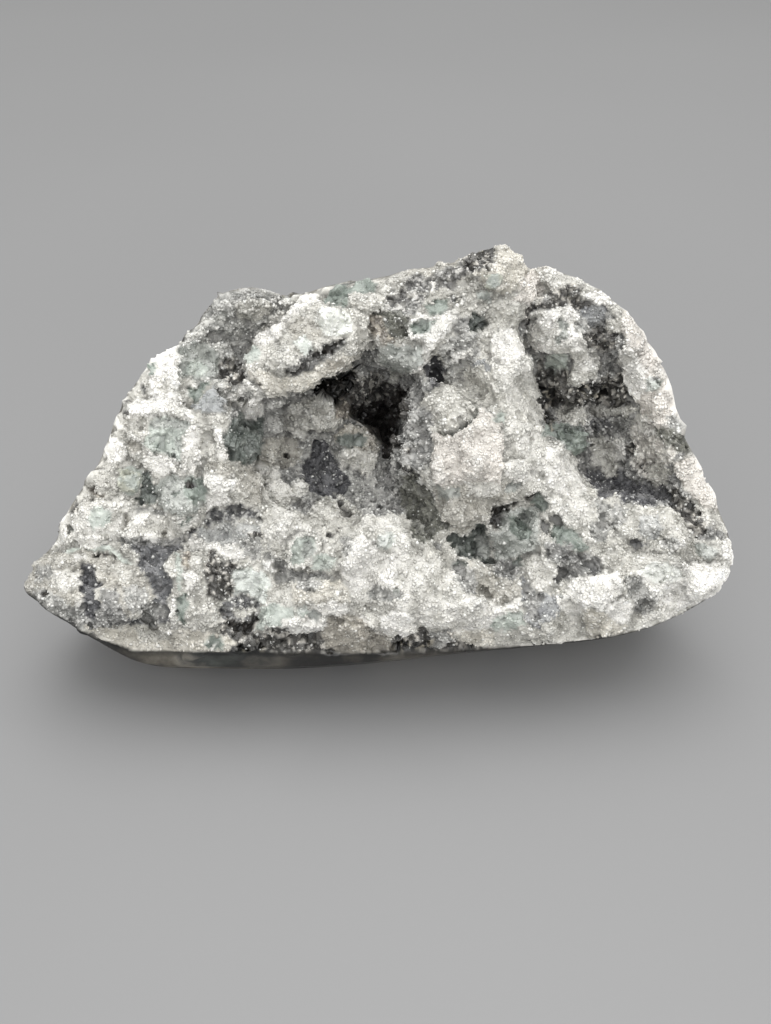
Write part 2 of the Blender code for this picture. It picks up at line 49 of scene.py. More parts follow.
FACE_MIDDLE = Vector((0.0009, -0.0060, 0.0390))
HULL_DEPTH = 45.0
HULL_FULLNESS = 2.3
HULL_LEAN = -5.0
RIM = (
    (-61.7, -22.4), (-59.0, -17.6), (-55.4, -13.6), (-49.6, -5.1), (-45.6, 2.6), (-43.2, 9.6),
    (-38.4, 16.4), (-34.0, 22.4), (-28.4, 28.2), (-21.8, 30.4), (-12.6, 27.8), (-4.0, 30.4),
    (5.0, 32.8), (12.9, 35.2), (21.5, 37.3), (26.6, 35.6), (32.7, 33.8), (39.3, 31.0),
    (46.0, 24.0), (50.8, 15.2), (53.8, 5.0), (58.0, -4.5), (61.6, -13.8), (61.6, -18.6),
    (58.2, -23.8), (50.0, -28.4), (41.0, -31.0), (27.0, -32.6), (13.5, -33.9), (0.0, -35.4),
    (-14.0, -36.4), (-28.0, -36.4), (-40.6, -35.8), (-48.4, -32.0), (-57.2, -26.2),
)
RIM_STEPS = 8

# Camera: the photograph looks down 40 degrees from about 185 mm
CAMERA_PITCH = math.radians(40)
CAMERA_FROM_FACE = Vector((0.00132, -0.1475, 0.1114))
CAMERA_LENS = 37
CAMERA_NEAR = 0.005

# The photograph: its size in pixels, and the film length in millimetres that its longer side stands for
PHOTO_SIZE = (771, 1024)
FILM = 36

# Lights: place, size in metres, watts
MAIN_LIGHT = ((0.05, 0.06, 0.65), (0.80, 0.60), 4.0)
FRONT_LIGHT = ((0.0, -0.48, 0.42), (0.6, 0.4), 1.5)
STUDIO_TONE = (0.86, 0.86, 0.85)
STUDIO_STRENGTH = 0.92

# Floor: half its width in metres, its clouds as scale, detail and roughness, and their tones
FLOOR_REACH = 3.0
FLOOR_CLOUDS = (3.0, 2.0, 0.5)
FLOOR_TONES = ((0.3, (0.22, 0.22, 0.222)), (0.7, (0.24, 0.24, 0.242)))
FLOOR_ROUGHNESS = 0.55

# Random draws and mottling: the fade and the step of each finer octave
SEED = 5
FRACTAL = (1.0, 2.0)

# Meshes: welding distance in metres, voxels, and shares of faces kept where the form is smooth or hidden
WELD = 1e-7
ROCK_VOXEL = 0.5
CRUST_VOXEL = 0.42
ROCK_KEPT = 0.06
CRUST_KEPT = 0.35
THIN_WEIGHT = 0.5
THIN_EVENLY = 0.3
SMOOTH_MOST = 0.01
HIDDEN_REACH = 0.6

# Smoothing: how far a point goes to its neighbours each round, and what softens the solid's facets
RELAX_SHARE = 0.6
CALM_ROUNDS = 22
CALM_SHARE = 0.7

# Where the crystals give way to the polish, and what of the crust faces the hollow, as ranges from 0 to 1
INSIDE_HULL = (0.7, 1.6)
FACING_OUT = (0.30, 0.62)
NOT_DEEP = (-16.0, -10.0)
OVER_FOOT = (-0.1, 0.3)
NEAR_HULL = (0.5, 1.1)
ON_FACE = 0.4
REST_REACH = 0.15
HOLLOW_MIDDLE = (-8.0, 4.0, 0.0)
FACING_HOLLOW = (-0.8, 2.4)

# The line at the foot of the rough face where the polish begins, as t along s, and its bevel
FOOT_LINE = (
    (-64.0, -20.9), (-61.7, -22.9), (-56.4, -27.4), (-49.8, -30.9), (-41.9, -33.6), (-22.9, -33.8),
    (-7.4, -34.1), (13.3, -33.5), (27.0, -32.8),
)
FOOT_SLOPE = 0.9
FOOT_REACH = 4
FOOT_TOP = (-6.0, -2.0)
STRIP_DEPTH = -9
STRIP_TOP = -18

# The painted shade on the polished strip: its ranges in s, t and depth, and how dark it is
LIT_LEFT = (-44, -38)
LIT_RIGHT = (-31, -26)
STRIP_IN = (-16, -8)
STRIP_UP = (-24, -16)
LINE_UP = (-0.75, -0.45)
LINE_IN = (-7, -3)
STRIP_SHADE = 0.78
STRIP_LIT = 0.24
LINE_SHADE = 0.7
UNSEEN_PAINTED_SHADE = 0.1

# Crystal cells, from large to small: size, height, slope, and the relief that glassy crystals add
CELLS = ((3.0, 0.60, 0.26, 0.45), (1.5, 0.28, 0.28, 0.45), (0.8, 0.12, 0.24, 0.0))
GLASSY = (0.5, 0.8)
SUGAR_DEPTH = 0.12

# Least roughness with cells, the scatter of their middles in sizes, and the most they rise in heights
CELL_LEAST = 0.02
CELL_SCATTER = 0.3
CELL_MOST = 1.6

# Edges of the patches: each wander's scale, reach and shifts in s and t; the painted shade in the groove at
# their foot
EDGE_WANDER = ((1.3, 0.48, (7.0, 12.0)), (0.5, 0.24, (18.0, 23.0)))
EDGE_OCTAVES = 2
EDGE_WIDTH = 0.13
LIFT_START = -0.1
GROOVE_START, GROOVE_MIDDLE, GROOVE_END = -0.7, -0.2, 0.05
GROOVE_BY_LIFT = 1.4
GROOVE_PAINTED_SHADE = 0.45

# Mottling of a look's two tones, finer and crisper on deep relief: noises as scale, octaves and shift
FINE_RELIEF = (0.3, 0.6)
SOFT_CLOUD = (2.4, 4, 31.0)
FINE_CLOUD = (1.0, 4, 47.0)
CLOUD_SOFTNESS = 0.26
CLOUD_CRISPNESS = 0.16
WIDE_SHADE = (9.0, 3, 11.0)
NEAR_SHADE = (2.0, 2, 23.0)
SHADE_SHARE = 0.16

# Pits get painted shade, edges are paler, and each crystal face has its own tone at random
CAVITY_ROUNDS = 12
PITS = (0.08, 0.42)
PIT_PAINTED_SHADE = 0.42
EDGES = (0.08, 0.4)
EDGE_TONE = (250, 249, 244)
EDGE_SHARE = 0.25
FACET_SHADE = 0.09
FACET_MOST = 2

# Where sugar grows: more of it on edges, less towards the rim and the foot, none near the floor
SUGAR_EDGES = (0.0, 0.3)
RIM_CLEAR = (0.0, 1.0)
FOOT_CLEAR = (0.1, 0.7)
FLOOR_CLEARANCE = 1.2

# Sugar grains: how many, their width in millimetres, and their stand and lean on smooth and on fine relief
ROCK_GRAINS = 84000
HOLLOW_GRAINS = 8000
MOST_GRAINS = 24000
GRAIN_SIDES = 4
GRAIN_WIDTH = (0.32, 0.95)
LARGE_GRAINS = 4
GRAIN_STAND = (0.05, 0.50)
GRAIN_LEAN = (0.07, 0.48)
GRAIN_SUNK = 0.02
GRAIN_SHIFT = 0.2
GRAIN_LENGTHS = (0.7, 1.3)
GRAIN_TURN = 0.3
GRAIN_RADII = (0.8, 1.25)
GRAIN_WAIST = (-0.1, 0.3)
GRAIN_FOOT = 0.6

# Tones of the grains: contrast, and the share of grains painted pale as glints, each with what fine relief
# adds
GRAIN_CONTRAST = (0.16, 0.26)
GRAIN_MIDDLE = 0.45
GLINTS = (0.04, 0.12)
GLINT_TONE = (246, 246, 242)
GLINT_STRENGTH = 0.6

# Light inside the crystals: its share, and how deep it goes in metres
GLOW_SHARE = 0.55
GLOW_DEPTH = 0.0009
GLOW_TONE = (1.0, 1.0, 0.95)

# Materials: noises as scale, detail and roughness, with the greys that they give
SPECKLE = (3200.0, 3.0, 0.7)
SPECKLE_TONES = ((0.36, 0.88), (0.64, 1.08))
SPECKLE_SHARE = 0.8
SPECKLE_BUMP = (0.3, 0.0003)
HULL_CLOUDS = (55.0, 8.0, 0.62)
SUGARY_ROUGHNESS = 0.5
GLASSY_ROUGHNESS = 0.24
GRAIN_CLOUDS = (900.0, 2.0, 0.5)
GRAIN_TONES = ((0.35, 0.9), (0.65, 1.1))
GRAIN_ROUGHNESS = 0.45
QUARTZ_IOR = 1.54

# Looks of the crystals: two tones in sRGB, the second one's share, sugar cover and depth of relief
LOOKS = {
    "bright": ((238, 236, 231), (213, 211, 205), 0.28, 1.0, 0.20),
    "white": ((220, 218, 212), (192, 190, 183), 0.34, 1.0, 0.24),
    "warm": ((217, 212, 205), (192, 187, 180), 0.34, 1.0, 0.22),
    "cream": ((214, 210, 200), (182, 178, 168), 0.34, 0.9, 0.30),
    "light": ((202, 200, 193), (166, 164, 157), 0.36, 1.0, 0.34),
    "blue light": ((200, 200, 197), (168, 169, 167), 0.35, 1.0, 0.34),
    "grey": ((176, 175, 171), (136, 136, 133), 0.38, 0.85, 0.50),
    "tan grey": ((186, 183, 175), (152, 149, 141), 0.35, 0.85, 0.42),
    "druse": ((204, 203, 198), (146, 146, 142), 0.40, 0.8, 0.65),
    "dark grey": ((158, 157, 154), (114, 114, 112), 0.40, 0.65, 0.65),
    "matrix": ((100, 100, 101), (196, 195, 191), 0.27, 0.5, 0.7),
    "speckle": ((118, 117, 115), (212, 210, 205), 0.38, 0.5, 0.7),
    "umber": ((76, 74, 71), (204, 200, 192), 0.24, 0.4, 0.7),
    "coal": ((28, 27, 25), (172, 166, 152), 0.13, 0.3, 0.7),
    "slate": ((118, 118, 119), (96, 97, 99), 0.40, 0.4, 0.5),
    "brown": ((122, 116, 108), (184, 177, 165), 0.30, 0.45, 0.65),
    "tan": ((176, 171, 161), (142, 138, 129), 0.36, 0.8, 0.45),
    "olive": ((116, 116, 108), (88, 88, 82), 0.40, 0.45, 0.6),
    "dark blue": ((98, 98, 100), (71, 71, 74), 0.36, 0.5, 0.6),
    "blue grey": ((156, 157, 157), (126, 127, 129), 0.34, 0.7, 0.40),
    "green grey": ((178, 180, 175), (146, 149, 144), 0.36, 0.4, 0.25),
    "pale green": ((190, 195, 188), (168, 174, 167), 0.36, 0.3, 0.18),
    "green": ((144, 151, 144), (116, 124, 117), 0.38, 0.10, 0.14),
    "deep green": ((108, 113, 108), (78, 83, 79), 0.40, 0.2, 0.35),
    "dark green": ((122, 127, 122), (94, 100, 95), 0.40, 0.25, 0.3),
    "green ball": ((158, 163, 157), (180, 181, 168), 0.42, 0.08, 0.08),
    "clear": ((210, 213, 208), (190, 194, 188), 0.36, 0.22, 0.15),
    "ice": ((244, 245, 239), (224, 226, 219), 0.36, 0.3, 0.15),
    "face": ((160, 162, 162), (146, 148, 148), 0.3, 0.15, 0.05),
    "streaks": ((172, 168, 162), (232, 229, 222), 0.48, 0.5, 0.5),
    # near black for painted shadow, in the hole and in the bulge's slit
    "pitch": ((22, 21, 20), (44, 41, 38), 0.30, 0.1, 0.5),
    "black": ((48, 45, 42), (76, 72, 68), 0.34, 0.2, 0.5),
}
BASE_LOOK = "light"

# Columns of a look, as each point holds it
FIRST_TONE, SECOND_TONE = slice(0, 3), slice(3, 6)
SECOND_SHARE, SUGAR, RELIEF = 6, 7, 8

# Tones of the polished hull's clouds, linear
HULL_TONES = (
    (0.32, (0.028, 0.028, 0.028)), (0.43, (0.075, 0.072, 0.066)), (0.50, (0.27, 0.245, 0.20)),
    (0.56, (0.44, 0.41, 0.35)), (0.64, (0.10, 0.105, 0.10)), (0.76, (0.30, 0.33, 0.29)),
)


def from_photo(*pixels):
    """Outline on the face, to a tenth of a millimetre, of points given in the photograph."""
    along = np.array((1.0, 0.0, 0.0))
    up = np.array((0, math.cos(FACE_TILT), math.sin(FACE_TILT)))
    out = np.array((0, -math.sin(FACE_TILT), math.cos(FACE_TILT)))
    ahead = np.array((0, math.cos(CAMERA_PITCH), -math.sin(CAMERA_PITCH)))
    above = np.cross(along, ahead)
    eye = np.array(CAMERA_FROM_FACE)
    focal = CAMERA_LENS / FILM * max(PHOTO_SIZE)
    outline = []
    for x, y in pixels:
        ray = ahead * focal + along * (x - PHOTO_SIZE[0] / 2) - above * (y - PHOTO_SIZE[1] / 2)
        place = (eye - ray * (eye @ out) / (ray @ out)) / MM
        outline.append((round(float(place @ along), 1), round(float(place @ up), 1)))
    return tuple(outline)


# Patches of the rough face, as seen from the camera: name, look, lift, width of its slope, outline (s, t)
PATCHES = (
    # Painted shade over the hollow, darker than the rest
    ("hollow shade", "grey", 0, 1, from_photo(
        (232, 395), (250, 380), (300, 372), (330, 385), (350, 400), (380, 430), (395, 455), (402, 468),
        (425, 480), (440, 510), (438, 525), (420, 528), (400, 510), (370, 500), (340, 505), (300, 500),
        (262, 490), (240, 460), (228, 430))),
    # Left end: the knob, the gap beside it and the lump
    ("knob", "tan grey", 0.5, 0.8, (
        (-61.6, -23), (-61, -20), (-60.3, -18.4), (-57.5, -16.7), (-54.5, -16.2), (-51, -15.2),
        (-48, -15.2), (-45, -16.4), (-43, -18), (-41, -20.2), (-39.2, -22.5), (-38.8, -24.2), (-40, -26.5),
        (-43.5, -28.6), (-48, -30.5), (-54, -28.5))),
    ("knob arch", "pale green", 0.3, 0.3, (
        (-54.5, -16.2), (-51, -15.1), (-47.5, -15.2), (-44.8, -16.5), (-42.8, -18.3), (-43.8, -18.6),
        (-46, -16.9), (-48.5, -16.1), (-51, -16), (-54, -17))),
    ("knob crescent", "umber", -0.6, 0.3, (
        (-49.8, -16.6), (-48, -16.2), (-46.3, -16.9), (-45.6, -17.5), (-47.3, -17.4), (-49.3, -17.6))),
    ("knob blue black", "dark blue", -0.5, 0.3, (
        (-51.7, -18.7), (-49.6, -19), (-48.6, -20), (-49.3, -21.3), (-47.6, -22.3), (-48.6, -23),
        (-48.9, -25.1), (-50.6, -25.3), (-51.3, -23.2), (-50.9, -21.6))),
    ("knob lower dark", "dark grey", -0.3, 0.4, (
        (-53.6, -26.2), (-51, -25.2), (-48, -25.2), (-45, -25.6), (-43.6, -27.2), (-43.6, -28.8),
        (-46.5, -29.4), (-49.8, -29.6), (-52.5, -28.2))),
    ("knob blue glass", "dark grey", 0.1, 0.4, (
        (-48, -23.4), (-46, -23), (-44.8, -24.3), (-45.3, -25.8), (-47.5, -26))),
    ("knob grey", "grey", -0.1, 0.4, (
        (-59.5, -19.2), (-57, -18.8), (-55.3, -20), (-56.3, -21.2), (-58.8, -21.6))),
    ("knob grey left", "grey", -0.1, 0.5, (
        (-60.3, -24.1), (-58.6, -22.7), (-56.5, -23.4), (-54.1, -24.8), (-51.9, -26.9), (-50.5, -29),
        (-52.2, -30.7), (-56.8, -27.6))),
    ("knob dark middle", "dark blue", -0.3, 0.3, from_photo(
        (84, 566), (94, 570), (98, 580), (94, 592), (99, 606), (96, 620), (86, 616), (84, 596), (78, 584))),
    ("knob dot", "black", -0.5, 0.2, (
        (-58.5, -23.4), (-57.6, -23.1), (-57, -23.9), (-57.5, -24.7), (-58.4, -24.4))),
    ("knob white", "light", 0.4, 0.4, (
        (-46.3, -18.8), (-43.8, -18.4), (-42.5, -20), (-42.8, -21.9), (-44.6, -21.8), (-45, -20.5),
        (-46.5, -20))),
    ("knob cream patch", "white", 0.3, 0.4, (
        (-57, -20.3), (-54, -19.6), (-51.6, -20.6), (-51.3, -22.4), (-53.5, -23.2), (-56.3, -23))),
    ("knob green grey", "grey", 0.1, 0.4, (
        (-44, -23.2), (-41.3, -22.6), (-39.6, -23.8), (-39.9, -25.6), (-41.8, -27), (-43.4, -26.4),
        (-44.3, -24.8))),
    ("knob streak", "bright", -0.3, 0.3, ((-53.2, -17.2), (-50.5, -16.8), (-49.8, -17.9), (-52.4, -18.2))),
    ("gap", "slate", -0.7, 0.5, (
        (-45.5, -14.2), (-42, -14), (-39, -14.5), (-36.5, -14.8), (-34, -15.2), (-33.5, -16),
        (-35.2, -16.8), (-36.5, -18.2), (-37, -19.5), (-36.7, -20.9), (-35.6, -22), (-36, -23.5),
        (-36.8, -25), (-36.2, -27), (-35.4, -28.6), (-36.5, -29), (-38.8, -29.1), (-41, -29.3),
        (-43.2, -29.2), (-43.6, -28.3), (-41.5, -27.8), (-39.8, -27), (-38.8, -24.5), (-38.9, -23),
        (-40, -21.5), (-40.8, -20), (-42.2, -18.4), (-41.5, -17), (-42.8, -16.2), (-44.5, -15.2))),
    ("gap top", "dark grey", -0.3, 0.4, (
        (-46, -14.2), (-43, -13.7), (-40, -13.9), (-37.5, -14), (-35.5, -13.3), (-33.5, -13.8),
        (-33.6, -15), (-35, -15.3), (-38, -15), (-41, -15.2), (-44.5, -15.1))),
    ("lump", "light", 0.5, 0.5, (
        (-37.1, -18.4), (-36.2, -17), (-35, -16.2), (-34, -15.9), (-32.5, -16.6), (-31, -16.7),
        (-30.6, -18.5), (-30.6, -20.6), (-30, -23), (-28.5, -25.3), (-27.3, -27), (-27, -29), (-30, -30),
        (-33, -30), (-35.3, -29.2), (-36.3, -26.5), (-36.5, -24.8), (-35.6, -23), (-35.4, -21.2),
        (-36.9, -20.9))),
    ("lump pale band", "pale green", -0.1, 0.3, (
        (-35, -17), (-34, -17.2), (-33.8, -19.5), (-34.1, -22), (-34.3, -23.3), (-35, -23), (-34.9, -20))),
    ("lump brown pit", "brown", -0.6, 0.3, (
        (-33.7, -17.2), (-32.6, -17), (-32.4, -18.3), (-32.7, -19.6), (-33.4, -19.8), (-33.9, -18.5))),
    ("lump window", "green", -0.4, 0.2, (
        (-34.8, -24.6), (-34.2, -23.7), (-33.2, -24), (-32.8, -25.5), (-32.9, -28), (-33.6, -29.3),
        (-34.5, -28.8), (-34.9, -26.8))),
    ("lump bright", "bright", 0.3, 0.4, (
        (-33.9, -20.2), (-32, -19.5), (-31, -20.8), (-31.4, -22.6), (-33.2, -23))),
    ("lump white edge", "bright", 0.2, 0.3, (
        (-36.2, -24.8), (-35.4, -23.5), (-34.9, -24.5), (-35.1, -27.5), (-35.3, -28.8), (-36, -27.3))),
    ("lump brown patch", "umber", -0.5, 0.3, (
        (-30.6, -16.3), (-28.5, -16.6), (-27, -18), (-25.2, -17.6), (-24.8, -18.8), (-23.2, -19.6),
        (-25, -20.3), (-25.3, -22), (-25, -24.2), (-26.6, -25), (-28.3, -25.1), (-29.5, -23.3),
        (-29.8, -21.3), (-30.6, -19.6), (-29.9, -18))),
    ("nub", "matrix", 0.3, 0.9, (
        (-27.4, -26.3), (-26, -24.9), (-24.8, -24), (-22, -24.4), (-20.3, -25.4), (-20.8, -27.3),
        (-21.5, -29.3), (-22.4, -30.4), (-24, -31), (-25.4, -30), (-26.8, -29), (-27.5, -27.8))),
    ("nub light", "light", 0.2, 0.3, (
        (-25.2, -26), (-23.4, -26.4), (-21.3, -25.8), (-20.9, -26.9), (-22.4, -27.5), (-24, -28.2),
        (-25.2, -27.4))),
    ("nub wide", "umber", -0.2, 0.4, (
        (-27.5, -28), (-25.5, -28.2), (-23, -28.4), (-20.8, -27.6), (-20.9, -29.4), (-21.6, -32),
        (-23.9, -33), (-26, -32), (-27.3, -30.6))),
    ("nub black", "black", -0.8, 0.4, from_photo(
        (222, 612), (232, 620), (244, 622), (255, 612), (257, 620), (251, 630), (242, 636), (231, 631),
        (223, 622))),
    ("lower strip", "cream", 0.2, 0.4, (
        (-50.5, -29.8), (-48, -29), (-46, -29.5), (-43.5, -29.3), (-40, -29.7), (-37.5, -29.6), (-35, -30),
        (-31, -30), (-28, -30.6), (-25.5, -31.3), (-24, -32.5), (-24, -34.2), (-43, -34.2), (-47, -32.4))),
    ("lower strip green", "green", -0.2, 0.3, (
        (-30, -31.6), (-28.8, -30.8), (-27.3, -31), (-26.3, -32), (-26.5, -33.3), (-29, -33.6),
        (-30, -32.6))),
    ("strip bead", "bright", 0.5, 0.4, (
        (-37, -30), (-36.2, -29.7), (-35.4, -30.4), (-35.8, -30.9), (-36.7, -30.7))),
    # painted highlight: a glint on the lower strip
    ("strip glint", "bright", 0.2, 0.2, ((-29.4, -33.2), (-28, -32.7), (-28.1, -33.2), (-29.2, -33.4))),
    # Left side above the knob
    ("shoulder", "white", 0.3, 0.5, (
        (-57.6, -15.4), (-56.3, -12.2), (-54.5, -9.6), (-52, -8), (-50, -7.4), (-47.5, -7.6), (-45, -6.8),
        (-43, -7.8), (-42.6, -9.2), (-43.8, -9.9), (-44.2, -11.5), (-45, -13.8), (-48, -14.4), (-52, -14.6),
        (-55.5, -16))),
    ("shoulder green", "pale green", -0.1, 0.3, (
        (-50.4, -8.9), (-48.5, -8.5), (-46.6, -9.3), (-46.4, -10.8), (-47.5, -12), (-49.5, -12.8),
        (-50.5, -11.5))),
    ("shoulder pit", "umber", -0.8, 0.3, (
        (-54.2, -8), (-52.7, -7.7), (-51.9, -8.6), (-52.3, -9.6), (-53.8, -9.7))),
    ("shoulder pit low", "olive", -0.5, 0.3, (
        (-54.7, -11.6), (-53.6, -12), (-53.2, -13.2), (-53.8, -13.9), (-54.4, -12.9))),
    ("shoulder dark", "brown", -0.6, 0.3, (
        (-51.4, -5), (-50, -5.5), (-48, -6.2), (-47.8, -7), (-49.2, -6.9), (-50.8, -6.2))),
    ("shoulder grey", "light", 0.0, 0.4, (
        (-48.8, -3), (-46.5, -1), (-45.8, -2.5), (-46, -5), (-48, -5.8), (-49.8, -4.8))),
    ("middle sugar", "white", 0.3, 0.5, (
        (-45, -14), (-44.2, -11.5), (-43.9, -10), (-42.3, -9.3), (-40, -9.8), (-36.8, -10.3), (-34, -10.5),
        (-31, -10.3), (-30.5, -11.4), (-33, -12.8), (-34, -13.6), (-37, -14.2), (-40, -13.9),
        (-43, -13.8))),
    ("middle lump", "bright", 0.4, 0.8, (
        (-42.9, -10.4), (-41.3, -9.6), (-39.8, -10), (-39.7, -11.2), (-41, -12.2), (-42.6, -11.8))),
    ("middle crack", "tan grey", -0.6, 0.2, ((-44.4, -10), (-43.5, -10), (-43.9, -12.3), (-44.4, -12.8))),
    ("middle slit", "green", -0.7, 0.2, (
        (-34.9, -11.2), (-33.7, -11.2), (-33.2, -10.5), (-32.2, -10.3), (-32.5, -10.9), (-33.5, -11.6),
        (-34.7, -11.8))),
    ("middle spot", "tan grey", -0.4, 0.2, (
        (-37.4, -12.7), (-36.6, -12.4), (-36.4, -13.2), (-37, -13.9), (-37.5, -13.5))),
    ("dark band", "matrix", -0.8, 0.4, (
        (-33.4, -13), (-32, -12.2), (-30.6, -11.3), (-30.3, -10.3), (-29.8, -9.4), (-27.5, -8.8),
        (-25.5, -8.5), (-24.5, -8), (-22.5, -8.3), (-21.5, -9), (-20.5, -9.5), (-20.5, -11.7), (-22, -10.9),
        (-24.2, -11), (-25, -11.9), (-26, -10.9), (-27.3, -11.6), (-28.3, -12.1), (-30, -11.6),
        (-31, -12.4), (-32.5, -14), (-33.4, -13.9))),
    ("below dark band", "blue light", 0.0, 0.4, (
        (-31, -12.4), (-28.3, -12.2), (-26, -11.2), (-24.9, -12), (-23, -11.4), (-20.5, -12),
        (-20.2, -14.2), (-23, -15.6), (-25.5, -15.3), (-28, -15.2), (-32, -14.5))),
    ("below band window", "umber", -0.3, 0.2, (
        (-23, -12.9), (-21.3, -13), (-20, -13.5), (-20.2, -14.3), (-22.2, -14.2), (-23.2, -13.8))),
    ("white ridge below", "bright", 0.4, 0.4, (
        (-33.5, -14.6), (-31.5, -14.2), (-28, -15.3), (-25, -15.2), (-22.8, -17.2), (-24.6, -17.5),
        (-26.6, -17.6), (-28.4, -16.2), (-32, -15.7))),
    ("ledge", "bright", 0.8, 0.5, (
        (-44.3, 7.3), (-44, 9.3), (-42.5, 10.2), (-40.2, 10.6), (-39, 11.5), (-37, 11.3), (-35.2, 10.2),
        (-33.8, 9.4), (-32.3, 7.4), (-32.6, 6.9), (-35, 7.4), (-37.8, 7.7), (-40, 7.1), (-42.3, 7.2))),
    ("column", "bright", 0.6, 0.6, (
        (-40.4, 10.8), (-40.6, 14.5), (-40.7, 16.5), (-39.9, 18.8), (-38.3, 20.5), (-36, 21.2), (-35, 19.6),
        (-35.4, 17), (-35, 14), (-35.1, 11.6), (-34, 10), (-37, 10.6))),
    ("column green", "green", -0.1, 0.3, (
        (-40.4, 16.4), (-39.2, 16.8), (-38.8, 15.2), (-39.2, 14.3), (-40.4, 14.6))),
    ("column grey", "light", 0.0, 0.3, (
        (-39, 12.6), (-37.6, 13), (-36.5, 12), (-37.6, 11.2), (-38.8, 11.5))),
    ("left stripe", "white", 0.4, 0.3, (
        (-47.4, 6.3), (-46, 7.2), (-44.6, 5.6), (-43, 4.4), (-41.6, 3.3), (-41.6, 2.3), (-43.2, 3.6),
        (-45, 5))),
    ("left grey upper", "light", -0.3, 0.3, (
        (-43.7, 5.9), (-42.2, 7.1), (-41.2, 6.8), (-41.5, 5.2), (-42.4, 4.9))),
    ("left grey lower", "tan grey", -0.4, 0.3, (
        (-44.9, 3.9), (-43.6, 3.6), (-42, 2.6), (-41.8, 1), (-43, 0.5), (-44, 0.9), (-44.3, 2.4))),
    ("left lump", "bright", 0.5, 0.9, (
        (-48.4, 2), (-47, 3.8), (-45.2, 3.3), (-44.4, 1.8), (-44, 0.3), (-45.3, -0.6), (-47.7, -0.8),
        (-48.6, 0.6))),
    ("edge pit upper", "umber", -0.5, 0.2, (
        (-46.4, 9.4), (-44.6, 10.2), (-43.3, 10.6), (-43.8, 9.9), (-44.6, 9.2), (-45.8, 8.8))),
    ("edge pit column", "dark grey", -0.5, 0.2, ((-42.1, 13.5), (-41, 12.6), (-41, 11.2), (-41.9, 11.8))),
    ("edge pit low", "umber", -0.4, 0.2, ((-44.8, 8.8), (-44.1, 8.4), (-44.3, 7), (-44.9, 7.6))),
    ("cube window", "pale green", -0.5, 0.25, (
        (-40.1, 6.9), (-37.6, 7.4), (-34.5, 6.9), (-32.7, 6.4), (-32.6, 5.5), (-34, 5), (-34.4, 3),
        (-34.3, 0.5), (-34.8, -1.5), (-35.4, -0.6), (-36.5, 0.3), (-38, 1), (-39.6, 1), (-40.8, 1.8),
        (-41.3, 3), (-40.2, 4.6))),
    ("cube window top", "green grey", -0.1, 0.2, (
        (-39.9, 6.8), (-37.6, 7.2), (-34.5, 6.8), (-32.7, 6.3), (-32.8, 5.5), (-35.2, 5.3), (-38, 5.5),
        (-39.8, 5.6))),
    ("cube spot left", "green", -0.1, 0.2, ((-39, 2.9), (-38.2, 2.8), (-38, 1.7), (-38.5, 1.5))),
    ("cube spot right", "green grey", -0.1, 0.2, (
        (-35.8, 3.4), (-34.7, 3.5), (-34.4, 1.5), (-35.2, 1), (-35.7, 1.9))),
    ("cube spot low", "deep green", -0.1, 0.2, ((-37.3, 1), (-35.8, 1), (-35.3, -0.2), (-36.3, 0.2))),
    ("cube lower sugar", "bright", 0.3, 0.4, (
        (-41.5, -0.5), (-40, 0.7), (-38, 0.5), (-36.3, -0.1), (-35.3, -1.6), (-35.3, -2.8), (-37, -2.6),
        (-38.7, -2.9), (-39.8, -2.5), (-41.2, -1.8))),
    ("cube right wall", "bright", 0.2, 0.4, (
        (-33.8, 5), (-32.3, 5.8), (-31, 5), (-31.2, 2), (-31, -1), (-32, -2.5), (-34, -2.6), (-34.2, -0.2),
        (-34, 2.5))),
    ("beside cube", "light", -0.1, 0.4, (
        (-31, 5), (-29.5, 5.2), (-28.3, 3.5), (-27.9, 1), (-29, 0.2), (-30.8, 0.3))),
    ("cliff edge", "bright", 0.4, 0.4, (
        (-28.8, 5.2), (-27.3, 5), (-27, 3.2), (-26.3, 1.6), (-26.5, -0.1), (-28, 0.3), (-28.5, 2.4))),
    ("below cliff edge", "tan grey", -0.1, 0.4, (
        (-29.8, -0.2), (-27, -0.4), (-25.2, -1.4), (-25, -3.2), (-27.8, -3.8), (-28.8, -2.4),
        (-30.3, -1.2))),
    ("white ridge", "bright", 0.5, 0.5, (
        (-30.8, -2.4), (-29, -3.2), (-27, -4), (-24.7, -4), (-24, -5.2), (-25.5, -5.3), (-26.3, -6.3),
        (-25.8, -8), (-28, -8.6), (-30, -9.3), (-30.2, -8), (-29.7, -6), (-30.4, -4))),
    ("green ball", "green ball", 0.7, 1.5, (
        (-45.5, -2), (-43.2, -1.2), (-41.4, -2), (-41, -3.4), (-41, -4.8), (-42, -6.3), (-43.2, -7),
        (-44.5, -6.3), (-45.6, -4.6))),
    ("beside ball", "deep green", -0.5, 0.3, (
        (-41.2, -2.3), (-39.9, -2.5), (-39.3, -4), (-38.4, -5.4), (-38.5, -7.1), (-39.2, -8.5),
        (-41.5, -8.2), (-42.6, -7.7), (-41.7, -6.4), (-40.9, -5))),
    ("green round", "green grey", 0.4, 1.3, (
        (-38.4, -4.8), (-37.4, -3.4), (-35.5, -2.9), (-34.5, -3.5), (-33, -2.9), (-31.4, -3.1),
        (-30.3, -4.6), (-29.9, -6.5), (-30.3, -8.7), (-31.5, -9.8), (-34.5, -10.4), (-37, -9.8),
        (-38.2, -8.4), (-38.6, -6.4))),
    ("green round dark", "green", 0.0, 0.3, (
        (-34.4, -3.8), (-33, -3.2), (-31.3, -3.3), (-30.2, -5.2), (-30.3, -7.5), (-31.8, -8.6),
        (-33.6, -7.8), (-34, -6), (-33.8, -4.9))),
    ("green round pit", "black", -0.3, 0.2, (
        (-34.2, -4.1), (-33.2, -3.5), (-32, -3.9), (-31.8, -4.8), (-32.8, -5.3), (-33.8, -4.8))),
    ("green round pit low", "deep green", -0.3, 0.2, (
